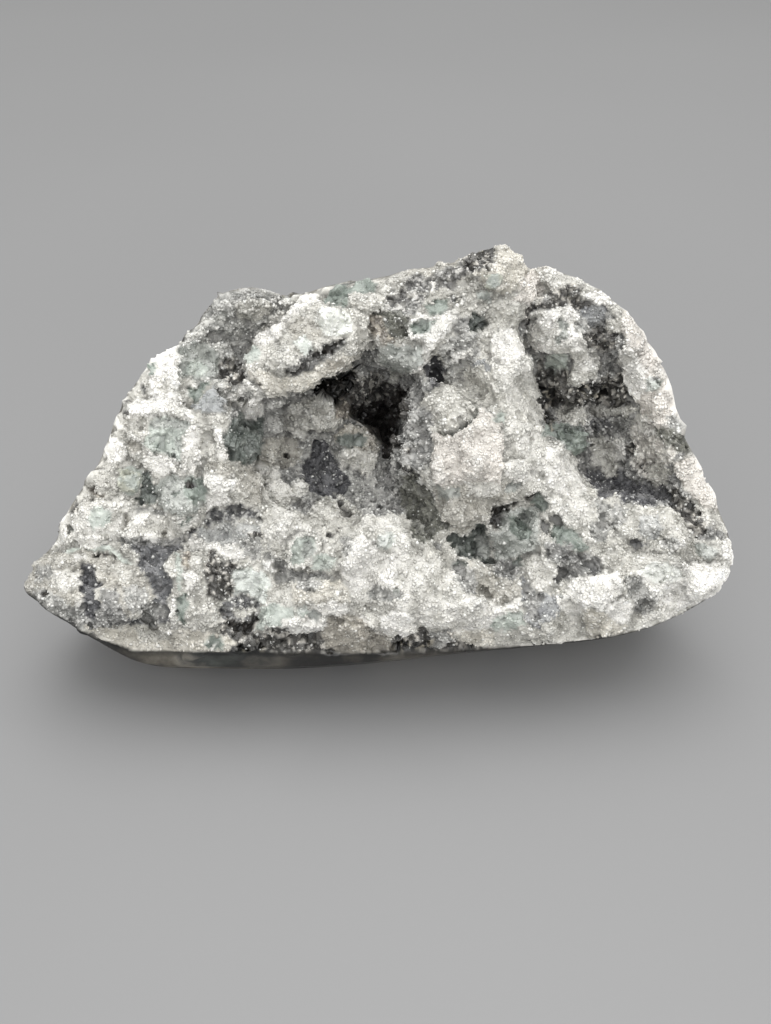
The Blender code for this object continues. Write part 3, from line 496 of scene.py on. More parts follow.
        (-36, -6.2), (-34.5, -5.9), (-34.5, -6.8), (-35.4, -7.3), (-36.2, -6.9))),
    ("below ball", "grey", -0.2, 0.4, (
        (-42.6, -8.2), (-39.4, -8.8), (-37.4, -9.6), (-36.4, -10.2), (-38.6, -10), (-41.6, -9.2))),
    # Upper left: grey druse behind the tongue
    ("upper druse", "druse", -0.2, 0.4, (
        (-35.3, 19.5), (-34.3, 22.4), (-33.6, 23.7), (-31.9, 25.4), (-30.7, 27.4), (-29.6, 29.4),
        (-27.5, 30.6), (-25.5, 31.5), (-22.5, 32.2), (-21.3, 31.2), (-19, 30.9), (-16.5, 30.5),
        (-14.6, 29.9), (-15.4, 27), (-16, 25.6), (-18, 24.6), (-20, 23.4), (-22, 21.6), (-23, 19.8),
        (-23.5, 17.5), (-23.3, 15.5), (-23, 14), (-24.5, 13), (-25.8, 11.3), (-27, 9.5), (-29, 12.5),
        (-29.7, 13.6), (-35, 10.5), (-35.2, 14))),
    ("upper druse light", "grey", 0.2, 0.5, (
        (-31.7, 25.2), (-30.7, 27.4), (-29.6, 29.4), (-27.5, 30.6), (-25.5, 31.5), (-22.5, 32.2),
        (-21.3, 31.2), (-18.5, 30.9), (-16.5, 30.2), (-18, 28), (-20, 27), (-23, 27.5), (-26, 26),
        (-28.5, 25.8))),
    ("upper druse blue", "light", 0.0, 0.4, (
        (-22, 28.8), (-20, 29), (-18.8, 27.5), (-19.3, 25.7), (-20.5, 25.4), (-22, 24.3), (-22.5, 25.8))),
    ("upper druse dark", "grey", -0.5, 0.4, (
        (-31, 21.5), (-30, 22.3), (-28, 23.3), (-27, 24.8), (-24.5, 26.3), (-23, 25.2), (-21.8, 24),
        (-19.6, 24.2), (-19.8, 23.5), (-21.8, 22), (-22.6, 20.6), (-23.3, 18.5), (-23.4, 15.5),
        (-23.2, 14.4), (-24.6, 13.2), (-25.4, 14.4), (-27.5, 14.2), (-27.8, 15.5), (-26.3, 16.5),
        (-26, 18.3), (-27.2, 19.8), (-29.5, 20.5))),
    ("druse green mix", "green grey", 0.0, 0.4, (
        (-35.2, 19.4), (-33, 21), (-30.5, 20.2), (-28.5, 19), (-27.5, 17), (-26.5, 16), (-28.5, 14.8),
        (-30, 14.3), (-32, 14.2), (-34.9, 14.5))),
    ("druse pale green", "pale green", 0.1, 0.4, (
        (-34, 16.5), (-32.5, 17.5), (-31, 17.4), (-30.2, 16), (-30.5, 14.8), (-32.3, 14.5), (-33.6, 15))),
    ("dark slab", "green", -0.5, 0.2, (
        (-33.7, 11.3), (-32.6, 12.4), (-31.2, 13.6), (-29.6, 13.8), (-29.7, 12.9), (-30.8, 11.8),
        (-31.3, 10.8), (-32.3, 10.2))),
    ("left of slab", "white", 0.0, 0.3, (
        (-35, 14.5), (-33, 14.3), (-32, 13.6), (-33.8, 11.4), (-33.4, 10.6), (-35, 10.4))),
    ("triangle face", "face", 0.4, 0.3, (
        (-31.8, 10.2), (-30.2, 11.6), (-28.9, 12.6), (-27.9, 11), (-26.6, 9.4), (-27.5, 8.3), (-29.5, 8),
        (-32, 8.3), (-33, 9.3))),
    ("triangle edge", "grey", -0.5, 0.2, (
        (-28.8, 12.8), (-27.2, 10.8), (-26, 9.2), (-26.6, 8.9), (-28, 10.4), (-29, 12.1))),
    ("sugar lumps", "bright", 0.4, 0.5, (
        (-24.8, 12.3), (-23.5, 13.8), (-22, 13.4), (-20.3, 12.3), (-20.2, 11), (-20.4, 8.5), (-21.5, 7),
        (-23, 7.2), (-23.4, 8.6), (-25, 9.5), (-26.4, 10.3), (-26, 11.5))),
    ("sugar lump pit", "grey", -0.6, 0.2, (
        (-24.8, 11), (-23.6, 11.4), (-22.4, 11.9), (-22.1, 10.8), (-22.8, 10), (-24.5, 10.2))),
    # The tongue and the ridge above the hollow
    ("tongue", "light", 0.9, 0.5, (
        (-23.5, 17.3), (-22.6, 19.2), (-22.3, 21), (-20.5, 22.6), (-18.3, 24.2), (-16, 25.5), (-15.2, 27),
        (-13.5, 28.4), (-12, 29.6), (-10.5, 29.8), (-9.2, 28.5), (-9.5, 27), (-5.2, 27), (-1.7, 25.6),
        (-1.7, 23.5), (-0.9, 21.7), (-1.3, 20.2), (-2.6, 19), (-4.2, 18), (-4.4, 16.8), (-5.2, 15.7),
        (-7.2, 15.3), (-7.9, 14.1), (-8.5, 13.3), (-11, 13.7), (-12.4, 12.6), (-14, 12.1), (-15.8, 12),
        (-17, 11), (-18.5, 10.6), (-19.8, 11.2), (-20.5, 12.5), (-22, 13.6), (-23, 14.8))),
    ("tongue upper", "bright", 0.2, 0.4, (
        (-22.2, 21), (-20, 22.9), (-17, 24.9), (-15.1, 26.9), (-12.5, 29.1), (-10.5, 29.4), (-10, 27.5),
        (-12.5, 26), (-14.8, 24.8), (-16, 23), (-17.3, 21), (-18.5, 19.9), (-20, 19.8), (-21.8, 20))),
    ("tongue grey", "tan grey", -0.2, 0.4, (
        (-16, 23.6), (-14, 24.8), (-11.8, 24.4), (-10.2, 23.6), (-10.5, 21), (-12, 20), (-14.5, 20.6),
        (-15.3, 22))),
    ("tongue crystal", "clear", 0.3, 0.5, (
        (-14.8, 20), (-13.6, 21.3), (-12, 21), (-11.3, 19.6), (-12, 18.3), (-13.6, 18), (-14.8, 18.8))),
    ("tongue pale green", "ice", 0.0, 0.4, (
        (-9.8, 26.5), (-6, 26), (-4.7, 24.5), (-5, 22.3), (-7, 22), (-9.8, 21.6), (-10.3, 23.5))),
    # Lights and darks round the tongue and at the left end: partly the stone's own tones, partly painted
    # light on surfaces that lie in shade
    ("upper druse low", "umber", -0.2, 0.4, from_photo(
        (219, 364), (228, 357), (240, 359), (246, 368), (243, 382), (233, 388), (223, 382))),
    # painted light: lifts the hollow's left side out of its shade
    ("hollow left light", "bright", 0.3, 0.3, from_photo(
        (240, 402), (254, 398), (264, 408), (262, 424), (250, 430), (241, 420))),
    ("shoulder foot", "bright", 0.3, 0.3, from_photo(
        (74, 540), (86, 533), (100, 534), (108, 541), (98, 547), (84, 549))),
    # painted light: lifts the tongue's end out of its shade
    ("tongue end", "bright", 0.5, 0.3, from_photo(
        (268, 318), (280, 310), (290, 318), (288, 334), (278, 344), (270, 336))),
    ("upper druse bright", "light", 0.2, 0.3, from_photo(
        (234, 304), (247, 297), (262, 302), (262, 318), (250, 326), (237, 320))),
    ("gap low", "grey", -0.2, 0.3, from_photo(
        (136, 606), (150, 602), (163, 606), (165, 618), (154, 625), (140, 624))),
    ("gap foot", "light", 0, 0.3, from_photo(
        (134, 627), (150, 626), (166, 626), (170, 636), (156, 642), (140, 641))),
    # The tongue's streak of painted shadow under its lower edge, its rim and crystals
    # painted shadow under the tongue's lower edge: a wide grey band and a black streak, both sunk a little
    ("tongue streak wide", "dark grey", -0.3, 0.4, from_photo(
        (286, 367), (297, 361), (310, 353), (326, 344), (341, 339), (345, 345), (333, 354), (319, 364),
        (304, 373), (291, 375))),
    ("tongue streak", "black", -0.7, 0.3, (
        (-16.4, 15.2), (-14.8, 16), (-13, 16.6), (-11.9, 17.6), (-10.6, 18.9), (-9, 20.1), (-7.2, 20.9),
        (-5.5, 21.6), (-5.8, 20.8), (-7.5, 19.9), (-9.2, 18.8), (-11, 17.9), (-12.8, 16.6), (-14.2, 15.4))),
    ("tongue left grey", "light", 0.0, 0.5, (
        (-19.6, 19.5), (-17, 20.4), (-15.3, 19.8), (-15, 18), (-16, 16.2), (-19, 15.8), (-20, 17.5))),
    ("tongue lower rim", "cream", 0.2, 0.4, (
        (-23, 15), (-20, 15.2), (-17, 14.8), (-14.5, 14.8), (-12, 16), (-9.5, 17.5), (-7, 18.3), (-5, 18.9),
        (-3, 19), (-4.2, 17.6), (-4.8, 16), (-7.3, 15.5), (-8.4, 13.5), (-11, 13.9), (-12.5, 12.8),
        (-15.8, 12.2), (-18.5, 10.8), (-20.4, 12.6), (-22, 13.8))),
    ("tongue tip", "pale green", 0.0, 0.4, (
        (-23.3, 17.5), (-22.3, 19.6), (-20.8, 19.6), (-20.3, 18), (-21, 16.6), (-22.6, 16.2))),
    ("tongue low crystal", "tan", -0.1, 0.3, (
        (-9.3, 17.8), (-7.5, 18), (-6.3, 17.3), (-6.5, 16), (-8, 15.8), (-9.2, 16.5))),
    # The ridge above the hollow
    ("ridge green", "green", 0.3, 0.4, (
        (-9.8, 27), (-9.2, 29.3), (-7.5, 30.9), (-6, 31.3), (-5, 30.8), (-3.5, 31.5), (-1.5, 31.9),
        (-0.3, 31.5), (-0.5, 29.6), (-5, 29.3), (-5.2, 27.2))),
    ("ridge white band", "light", 0.4, 0.4, (
        (-5.2, 27), (-5, 29.4), (-0.4, 29.5), (1.5, 31.1), (2.5, 30.4), (1.5, 28.6), (0.8, 27),
        (-2, 26.4))),
    ("ridge speckle", "speckle", -0.3, 0.4, (
        (2.5, 30.5), (4, 29.8), (6, 33.3), (7.5, 33.6), (8.5, 32.2), (10, 33.2), (12, 34.2), (15, 35.2),
        (18, 37), (20.5, 37.5), (20.8, 35), (19, 33.5), (18, 32.3), (16.5, 31), (14, 30.5), (12, 30.6),
        (9, 29.8), (7.8, 27.2), (6.5, 26), (4, 26.2), (1, 27), (1.5, 28.5))),
    ("ridge crest", "tan grey", 0.3, 0.4, (
        (2.5, 31.3), (4.5, 33), (6.5, 34.2), (8.5, 35.3), (11, 35.7), (13.5, 36.6), (16, 37.4),
        (15.5, 35.6), (12, 34.4), (9.6, 33.2), (8.2, 32.6), (7.2, 33.8), (5.6, 33.2), (4, 31.2))),
    ("ridge stain", "brown", -0.3, 0.4, (
        (-1.5, 25.8), (1, 26.1), (3, 25.7), (5, 24.9), (4.8, 22.5), (3.5, 21), (2, 20), (0.5, 20.2),
        (-0.8, 21.8), (-1.8, 23.5))),
    ("stain top", "olive", -0.6, 0.2, ((-1.3, 25.9), (1, 26.2), (3.4, 25.8), (3, 25), (1, 25.3), (-1, 25))),
    ("stain vein", "brown", 0.2, 0.2, (
        (-0.6, 23.9), (1, 24.3), (2.8, 23.6), (4.2, 24), (4, 23.2), (2.6, 22.6), (0.6, 23.3),
        (-0.6, 22.9))),
    ("hanging ledge", "bright", 1.1, 0.5, (
        (5.3, 24), (7, 25.6), (10, 25.3), (12.5, 26.2), (14.8, 28.3), (15.9, 31.5), (15.4, 28), (14.2, 25),
        (12.8, 23), (11.3, 21.3), (9.6, 19.5), (8.9, 17.5), (7.5, 15.3), (6, 14.9), (5.5, 17), (6.5, 19),
        (8.4, 20.2), (6.4, 21), (5, 22.3))),
    ("ledge window", "green", -0.5, 0.25, ((5.5, 23.6), (7.5, 24.2), (10, 23.8), (9.4, 22.3), (7, 21.8))),
    ("ledge window top", "green", -0.4, 0.25, (
        (8.2, 27.5), (10.5, 28.6), (12.4, 28.3), (12.3, 26.3), (10.5, 25.4), (8.8, 25.6))),
    ("ledge spot", "dark grey", -0.5, 0.2, ((12.4, 29.2), (13.4, 29.4), (13.8, 28.5), (13, 28))),
    ("hanging block", "green grey", 0.2, 0.4, (
        (0, 19.8), (2.5, 20.1), (5, 19.8), (6.4, 20), (8, 19.7), (7.8, 18), (6.5, 16), (5.5, 15.2), (3, 15),
        (1.5, 16), (0, 17.4))),
    ("hanging window", "clear", 0.1, 0.2, ((6.4, 19.6), (8, 19.7), (7.9, 18.2), (6.6, 17.2), (6, 18.2))),
    ("under the ridge", "dark grey", -0.7, 0.3, (
        (-4.5, 18), (-2, 19.1), (0, 19.7), (0, 17), (1.5, 15.8), (2.4, 14), (1.5, 12.5), (0, 13), (-2, 14),
        (-4, 15.5), (-5, 16))),
    # Over the bulge
    ("hole rim", "dark grey", -0.3, 0.4, (
        (2.6, 12.5), (4, 14.6), (6, 15), (8, 14.2), (9, 12.8), (10, 12.6), (9, 10.6), (7.3, 10), (6, 8.4),
        (4.7, 8), (4.9, 10.5))),
    ("wall pit", "dark blue", -1.0, 0.3, (
        (8, 16.5), (9.5, 18), (10.4, 18.5), (11.3, 17), (11.8, 15), (11.1, 13.3), (10, 12.7), (8.8, 12.8),
        (8.3, 14.3))),
    ("wall druse", "grey", 0.1, 0.5, (
        (10.6, 19.4), (12.2, 21.6), (15, 22.4), (17.5, 22.3), (18, 19.5), (17.5, 15.4), (15, 13.8),
        (12.5, 13.4), (12, 15.4), (11.4, 17.4))),
    ("wall streak", "bright", 0.3, 0.3, (
        (13, 17.4), (15, 17.6), (16.6, 18.4), (16.3, 19.2), (14.6, 18.9), (13.1, 18.3))),
    ("upper pit", "deep green", -1.0, 0.3, (
        (15.9, 22.5), (16.2, 25), (17.5, 26), (19.1, 25.4), (19.2, 23.8), (17.6, 22.3))),
    ("upper pit rim", "bright", 0.5, 0.5, (
        (20, 17.4), (21.5, 17), (24.5, 17.3), (26, 18.6), (25.4, 21), (24.5, 23), (22, 23.2), (20, 21.5))),
    ("wall blue", "blue grey", -0.1, 0.3, (
        (17.2, 15.4), (19.8, 15.6), (20, 17.3), (18.2, 17.7), (17, 16.8))),
    ("wall left of pit", "light", 0.1, 0.4, (
        (14, 24), (16, 24.4), (16.4, 26.6), (18, 28), (17.4, 31), (16.2, 31), (15.3, 28), (14.3, 26))),
    # The white bulge
    ("bulge knob", "light", 0.9, 1.4, (
        (7.3, 10.3), (8.5, 11.5), (10, 12.6), (12, 13), (13.5, 12.5), (14.8, 11.2), (16, 10), (16.8, 8.8),
        (16.5, 7.5), (15.3, 6.2), (14, 5.8), (12.5, 5), (11, 5), (10, 6), (9.8, 7.5), (8.5, 9))),
    ("bulge crack", "olive", -0.9, 0.2, (
        (10, 5.1), (12.8, 4.6), (14, 5.8), (15.2, 6.4), (16.7, 7.8), (17, 9), (16.2, 10.2), (18.5, 10.8),
        (18.6, 10.2), (17.2, 9.7), (17.8, 8.8), (17.2, 7.2), (15.5, 5.8), (14.2, 5.2), (13, 3.8),
        (10.2, 4.3))),
    ("bulge", "warm", 0.7, 1.2, (
        (9.3, 4.3), (9.5, 1), (9, -1.5), (9.8, -4.6), (13, -4.9), (18, -4.9), (21.3, -4.6), (22.4, -2),
        (22.4, 2), (22, 5), (20, 7.8), (18.3, 9), (17.3, 7), (15.4, 5.6), (14.1, 5), (13, 3.7))),
    ("bulge left", "dark grey", 0.1, 0.5, (
        (2.3, 0), (3.2, 2), (4, 4.5), (4, 6), (5.5, 8.3), (7, 9.5), (8.5, 9), (9.6, 7.5), (9.4, 5),
        (9.3, 2), (9, -1), (7.2, -2.4), (5, -1.2), (3.5, -0.8))),
    ("bulge shard", "bright", 0.5, 0.3, ((3.2, 6.4), (4, 7.2), (5.3, 8.5), (5.4, 7.6), (4.2, 6.2))),
    ("bulge spot", "umber", -0.3, 0.2, ((4.5, 1.7), (5.6, 1.9), (6, 1), (5, 0.6))),
    # painted shadow in the slit, which is also sunk into the bulge
    ("bulge slit", "pitch", -1.3, 0.2, from_photo(
        (396, 459), (402, 463), (410, 468), (418, 472), (421, 479), (416, 483), (409, 480), (401, 474),
        (395, 466))),
    ("bulge tail", "tan grey", -0.1, 0.5, (
        (10, -5), (15, -4.8), (20, -5), (24, -4.2), (24, -7.3), (21, -8.2), (20, -9.5), (19, -11.5),
        (18, -11.8), (16.5, -12.5), (15, -13.6), (12.5, -13), (10.5, -10), (9.6, -7.5))),
    ("tail window", "green grey", -0.3, 0.3, (
        (10, -5.3), (14, -5.2), (14.4, -6.6), (12, -7.6), (10.2, -7.2))),
    ("bulge right mottle", "light", -0.1, 0.3, (
        (22.4, -2.2), (24.3, -1.6), (24.6, 0.6), (23.4, 1.8), (22.4, 0.4))),
    ("bulge window low", "green grey", -0.4, 0.3, (
        (21.8, -5.9), (23, -4.5), (24.8, -4), (25.6, -4.8), (24.5, -6), (23, -6.3))),
    ("bulge window right", "green", -0.4, 0.3, (
        (27, -1.7), (28.2, -2.5), (29.1, -3.3), (28.8, -4.3), (27.4, -4))),
    ("bulge window top", "pale green", -0.3, 0.3, ((20.2, 6.6), (21.4, 8.6), (22.6, 8), (22.2, 6.2))),
    ("right wall", "white", 0.1, 0.5, (
        (22.6, 5), (23, 9), (22, 13), (21, 16.3), (24.5, 17), (26.6, 17.4), (27.4, 14), (28.2, 11),
        (28.6, 8), (28.4, 5.5), (29, 3), (31, 2.6), (33.5, 1.2), (35, -0.5), (35.4, -2.5), (33, -4.6),
        (30, -4.8), (27.4, -4.3), (26.8, -1.5), (25, 1))),
    ("right wall spot", "grey", -0.3, 0.3, ((32.3, -4.8), (33.8, -5), (34, -6.6), (32.7, -7))),
    # Below the bulge
    ("dark druse", "olive", -0.5, 0.4, (
        (4.6, -2.6), (7, -3.8), (8.6, -5), (9.6, -7.5), (10.4, -9.8), (11.6, -11.5), (13, -12.8),
        (11, -12.7), (9.5, -14.3), (8.2, -14.8), (6.5, -13.8), (5.5, -12), (5.1, -10.2), (3.4, -8),
        (3.4, -5))),
    ("dark druse left", "dark grey", -0.3, 0.4, (
        (0.3, -1.5), (3, -1.2), (4.8, -2.6), (3.6, -5), (3.6, -8), (5.1, -10), (0, -9.8), (-3, -9.8),
        (-1.2, -7), (-0.2, -4))),
    ("green cavity", "deep green", -0.9, 0.4, (
        (12.3, -14.2), (13.3, -13.3), (15, -13.8), (16.3, -13.2), (17.3, -12.2), (18.5, -11.8), (19.2, -14),
        (19.8, -16), (19.5, -18.4), (18.5, -18.7), (17.5, -17.6), (15.5, -17.4), (13.8, -16.8),
        (12.7, -15.8))),
    ("cavity crystal", "green grey", 0.3, 0.2, (
        (17, -14.8), (18.6, -13.8), (19.5, -15.2), (19.6, -17.8), (18.4, -17.6))),
    ("cavity slit", "black", -0.8, 0.2, (
        (19.8, -10.5), (20.5, -9), (21.7, -8.3), (24, -7.7), (26, -7), (28, -6.3), (30, -6.8), (28.2, -7),
        (26, -7.7), (24, -8.4), (22.2, -9.2), (21.8, -10.5), (22.2, -11.5), (20.8, -12.7), (19.8, -12))),
    ("cavity cluster", "green", -0.3, 0.3, (
        (26.8, -6.8), (28.5, -6.4), (30.2, -7.4), (30.2, -9.2), (28.4, -9.8), (27, -8.6))),
    ("green mass", "green grey", 0.3, 0.5, (
        (22.2, -9.3), (24.2, -8.8), (27, -8.8), (28.4, -10), (28.2, -13), (27.4, -16.4), (25, -17),
        (22.4, -17.8), (20.4, -18), (20, -15.4), (19.6, -12.8), (21, -12.7))),
    ("mass window", "green", -0.3, 0.3, (
        (22.3, -10.4), (24, -10.2), (26, -12), (27.1, -13.5), (26, -14.5), (24.3, -13.8), (23, -12.5))),
    ("mass slit", "clear", -0.7, 0.2, (
        (24.6, -8.9), (25.4, -9.4), (27, -11.2), (26.6, -11.7), (25, -10.2))),
    ("mass low pit", "green", -0.7, 0.3, (
        (19.8, -19.7), (21, -18), (23, -18.2), (25, -17), (25.1, -18.5), (24.3, -20), (22.5, -20.5),
        (20.5, -20.4))),
    ("left strip", "deep green", -0.6, 0.3, (
        (12.9, -18), (15.5, -17.8), (15.4, -19), (15.1, -21.5), (14.3, -21.4), (13.3, -20))),
    ("blue sugar", "tan grey", 0.1, 0.5, (
        (15.7, -17.9), (18, -18.8), (19.6, -19.9), (22, -20.7), (24.4, -20.4), (25, -22.6), (25, -24.4),
        (22.6, -25.3), (19.4, -26.6), (16.8, -25.4), (15.4, -22.4))),
    # painted light: the dome's pale foot made brighter where it faces down, away from the lamps
    ("dome foot", "bright", 0.3, 0.5, from_photo(
        (440, 606), (460, 600), (480, 596), (495, 600), (500, 615), (498, 628), (480, 634), (455, 634),
        (440, 628))),
    ("blue sugar spot", "tan", -0.4, 0.2, ((15.8, -22.4), (16.8, -22.3), (17, -23.2), (16, -23.5))),
    ("pocket", "dark grey", -0.6, 0.2, ((9.9, -15), (10.9, -14.6), (11.4, -15.6), (10.6, -16.1))),
    # The front dome and its left side
    ("front dome", "white", 0.3, 0.6, (
        (-2, -10), (3.5, -10), (5, -12.5), (6, -16), (9, -18.5), (13, -20), (15, -23), (16, -25),
        (19, -27.5), (15, -29.5), (10, -29.8), (5, -28.5), (0, -25.5), (-4, -25), (-7, -20), (-6, -14))),
    ("dome bright", "bright", 0.3, 0.6, (
        (-5.5, -15), (-2.5, -13.5), (0, -16.4), (2.8, -16.8), (3.6, -20), (2.6, -22.6), (-1, -22),
        (-4, -23.4), (-6.4, -20.5))),
    ("dome green", "clear", -0.1, 0.3, (
        (-0.2, -13.6), (2.4, -13.2), (3, -15), (1.2, -16.1), (-0.4, -15.2))),
    ("dome grey", "grey", -0.3, 0.3, (
        (-2.1, -23.6), (0, -22.2), (2, -23.1), (4.1, -23), (4.1, -24.4), (2, -25.4), (0.5, -25.1),
        (-1.5, -24.6))),
    ("dome spot", "green grey", -0.3, 0.2, ((2.4, -22.8), (3.6, -22.8), (3.5, -23.6), (2.6, -23.7))),
    ("dome ridge", "bright", 0.4, 0.3, (
        (19, -27), (21, -26), (24, -24.6), (25.1, -24.4), (24.9, -26.2), (23, -26.4), (21, -27.4),
        (19.4, -27.9))),
    ("below ridge", "pale green", -0.2, 0.4, (
        (19.8, -28), (22, -27.2), (24.8, -26.8), (25.6, -29.4), (22, -30.4), (19.4, -29.6))),
    ("left sugar", "white", 0.2, 0.5, (
        (-20.2, -14.4), (-20.4, -12), (-20, -9.8), (-18.5, -8.3), (-16.5, -8.6), (-14, -10), (-12.5, -11.5),
        (-10, -13.2), (-9, -14.5), (-8, -16), (-7.2, -16.8), (-10.8, -14.8), (-13, -13.4), (-15, -13.6),
        (-16.4, -14.8), (-18.4, -15.8))),
    ("left dark", "white", -0.4, 0.3, (
        (-16.5, -12), (-14.6, -11.6), (-13.4, -12.8), (-14.4, -14.6), (-16.2, -14.8))),
    ("ring rim", "white", 0.7, 0.4, (
        (-15.8, -15), (-14.6, -13.4), (-12.6, -12.9), (-10.8, -13.2), (-9.7, -15), (-10.4, -17),
        (-11.6, -18.8), (-13.8, -19.9), (-15.8, -19), (-16, -17))),
    ("ring window", "pale green", -0.6, 0.25, (
        (-14.9, -15), (-14.1, -14.2), (-12.5, -13.7), (-11.2, -14), (-10.7, -15.2), (-11.4, -16.6),
        (-12.4, -18), (-13.8, -19), (-15, -18.4), (-15.1, -16.8))),
    ("ring shade", "green grey", -0.2, 0.3, (
        (-13.3, -15), (-12, -14.2), (-11, -14.6), (-11.2, -16.3), (-12.3, -17.6), (-13.4, -17))),
    ("below ring green", "pale green", 0.1, 0.3, (
        (-11.6, -17), (-9.5, -16.7), (-7.4, -17.4), (-7.3, -19.2), (-9.4, -19.7), (-11.7, -19.4))),
    ("dark band low", "grey", -0.6, 0.3, (
        (-20, -16.8), (-17.5, -17.2), (-15.6, -18.2), (-15, -19.8), (-12.5, -20), (-10, -19.8), (-8, -20.3),
        (-8.2, -21.3), (-11, -21), (-13, -21), (-15, -21.8), (-17.5, -22), (-18.5, -21), (-17.5, -19.8),
        (-19.5, -18.5))),
    ("dark band chip", "bright", 0.4, 0.3, (
        (-20, -18), (-18.2, -18.3), (-17.7, -19.8), (-19, -20), (-20.2, -19))),
    ("left grey window", "grey", -0.2, 0.3, ((-9.6, -9.1), (-7.2, -9), (-6.9, -10.3), (-9.2, -10.4))),
    ("left glassy", "clear", 0.0, 0.4, (
        (-25.2, -19.6), (-22.4, -19.2), (-19.4, -20.4), (-18.6, -22.4), (-19.4, -25.2), (-20.4, -25.2),
        (-22, -24.2), (-24.8, -23.9))),
    ("low glassy", "pale green", 0.0, 0.4, (
        (-20.2, -26), (-17, -25.6), (-14.4, -26.2), (-14.5, -28.6), (-17, -29.4), (-20.6, -30),
        (-20.8, -28))),
    ("low window", "clear", -0.6, 0.25, (
        (-14, -26.2), (-12.5, -25.9), (-10.5, -26.1), (-9.5, -27.4), (-10, -28.8), (-12, -29.4),
        (-13.6, -28.7), (-14.3, -27.4))),
    ("low window shade", "pale green", -0.1, 0.3, (
        (-13.7, -26.8), (-12, -26.6), (-11.6, -27.8), (-13.3, -28.2))),
    ("front cream", "cream", 0.4, 0.5, (
        (-15.2, -22.2), (-12, -21.4), (-9, -21.6), (-7, -21.2), (-5, -23), (-4.6, -25.4), (-7, -26.6),
        (-9.6, -26.4), (-12, -25.6), (-14.6, -25.6))),
    ("front spot", "tan grey", -0.4, 0.2, ((-8, -23), (-5.8, -23.2), (-5.6, -23.9), (-7.8, -24))),
    ("front chip left", "bright", -0.5, 0.3, (
        (-9, -27), (-7, -26.8), (-5.5, -27.6), (-6.2, -29.2), (-8.4, -28.8))),
    ("front chip right", "bright", -0.5, 0.3, (
        (-4.6, -27.2), (-2.6, -27.4), (-1.4, -28.4), (-2.2, -29.7), (-4.2, -29))),
    # Speckles on the front dome
    ("speckle a", "umber", -0.4, 0.2, ((-7.5, -12.3), (-6.7, -12.3), (-6.5, -13.1), (-7.3, -13.2))),
    ("speckle b", "umber", -0.4, 0.2, ((-8.9, -13.2), (-8, -13.2), (-7.9, -14), (-8.8, -14.1))),
    ("speckle c", "light", -0.4, 0.2, ((-6.3, -15.6), (-5.5, -15.6), (-5.5, -16.3), (-6.3, -16.4))),
    ("speckle d", "grey", -0.4, 0.2, ((-19.4, -15.2), (-18.5, -15.2), (-18.5, -16), (-19.3, -16.1))),
    # The rough band along the lower rim
    ("rough band", "umber", -0.4, 0.5, (
        (-22, -31), (-17, -29.4), (-14.5, -28.9), (-13, -29.7), (-10, -29.8), (-9, -28.7), (-8, -27.5),
        (-6, -28.2), (-3.5, -28.2), (-2.5, -28.8), (-1, -29.7), (2, -30), (6, -30.4), (7.6, -29.4),
        (9, -30.4), (13.5, -30), (13.3, -31.4), (15, -32.2), (19, -33.2), (22, -33.4), (22, -35),
        (0, -37.5), (-22, -37.5))),
    ("band tan", "tan grey", 0.1, 0.4, (
        (-7, -30.2), (-3, -29.8), (0, -30.6), (0.6, -34), (-3, -35), (-7, -34.4))),
    ("band dark left", "umber", -0.3, 0.3, (
        (-16, -31), (-12, -30.6), (-9, -31.2), (-9, -34), (-13, -34.4), (-16, -33.6))),
    ("band dark right", "umber", -0.4, 0.3, (
        (1.5, -31.2), (4, -30.8), (6, -31.4), (5.6, -33.5), (2, -33.6))),
    ("band grey", "grey", 0.1, 0.4, ((9, -30.4), (12, -30.1), (13, -31.4), (12.4, -33), (9.4, -33))),
    ("band cream", "cream", 0.2, 0.4, (
        (13.6, -30), (17, -29.6), (20, -30.4), (20.2, -32.6), (16, -32.8), (13.8, -31.6))),
    # Lower right
    ("low right white", "white", 0.5, 0.5, (
        (25.3, -17.5), (27, -16.8), (29.5, -17.4), (31, -19), (31.3, -21), (30.5, -22.9), (28, -23.1),
        (26, -21.2))),
    ("low right blue", "blue grey", -0.1, 0.5, (
        (25, -20.6), (27.3, -23.2), (29, -23.7), (33, -24.2), (35, -25.2), (32, -26.2), (30, -28.2),
        (29.8, -30), (26, -29.8), (25.3, -27), (25, -24))),
    ("low lump", "bright", 0.7, 0.7, (
        (32, -24), (32.8, -22), (34, -21), (36, -20.5), (38, -20.3), (39.5, -19.4), (41.5, -20.2),
        (42.8, -22), (42, -24), (40, -25.2), (39, -27.2), (37, -26), (35, -25.4), (33.5, -25.1),
        (32.2, -24.8))),
    ("low right matrix", "dark grey", -0.6, 0.4, (
        (31.5, -18), (34, -16.8), (37.5, -16.5), (38.5, -17.5), (39.8, -18.8), (38, -20), (36, -20.5),
        (33.5, -21), (31.5, -21.4), (30.6, -23), (30.5, -21), (31.3, -19.5))),
    ("slab right", "green", 0.4, 0.2, (
        (31.5, -16.3), (32.3, -15.2), (33, -14.7), (36, -14.8), (36.5, -15.8), (35.5, -16.5), (33, -16.5))),
    ("slab mottle", "green", 0.0, 0.4, (
        (30.4, -12), (32.6, -11.4), (35, -12.8), (35.4, -14.6), (32.4, -14.7), (30.4, -14.2))),
    ("dark pocket top", "grey", -0.7, 0.3, (
        (29.9, -10.2), (32, -10.3), (32.6, -11.3), (31, -11.8), (29.8, -11.2))),
    ("dark pocket low", "dark grey", -0.7, 0.3, (
        (28.4, -10.6), (29.8, -11.2), (30.4, -12.6), (29.4, -13.2), (28.4, -12.4))),
    ("ridge right", "white", 0.6, 0.4, (
        (29, -7.2), (31, -6.8), (35, -7), (38.5, -7.6), (39.6, -9.8), (38.1, -11), (38.6, -13), (37.5, -15),
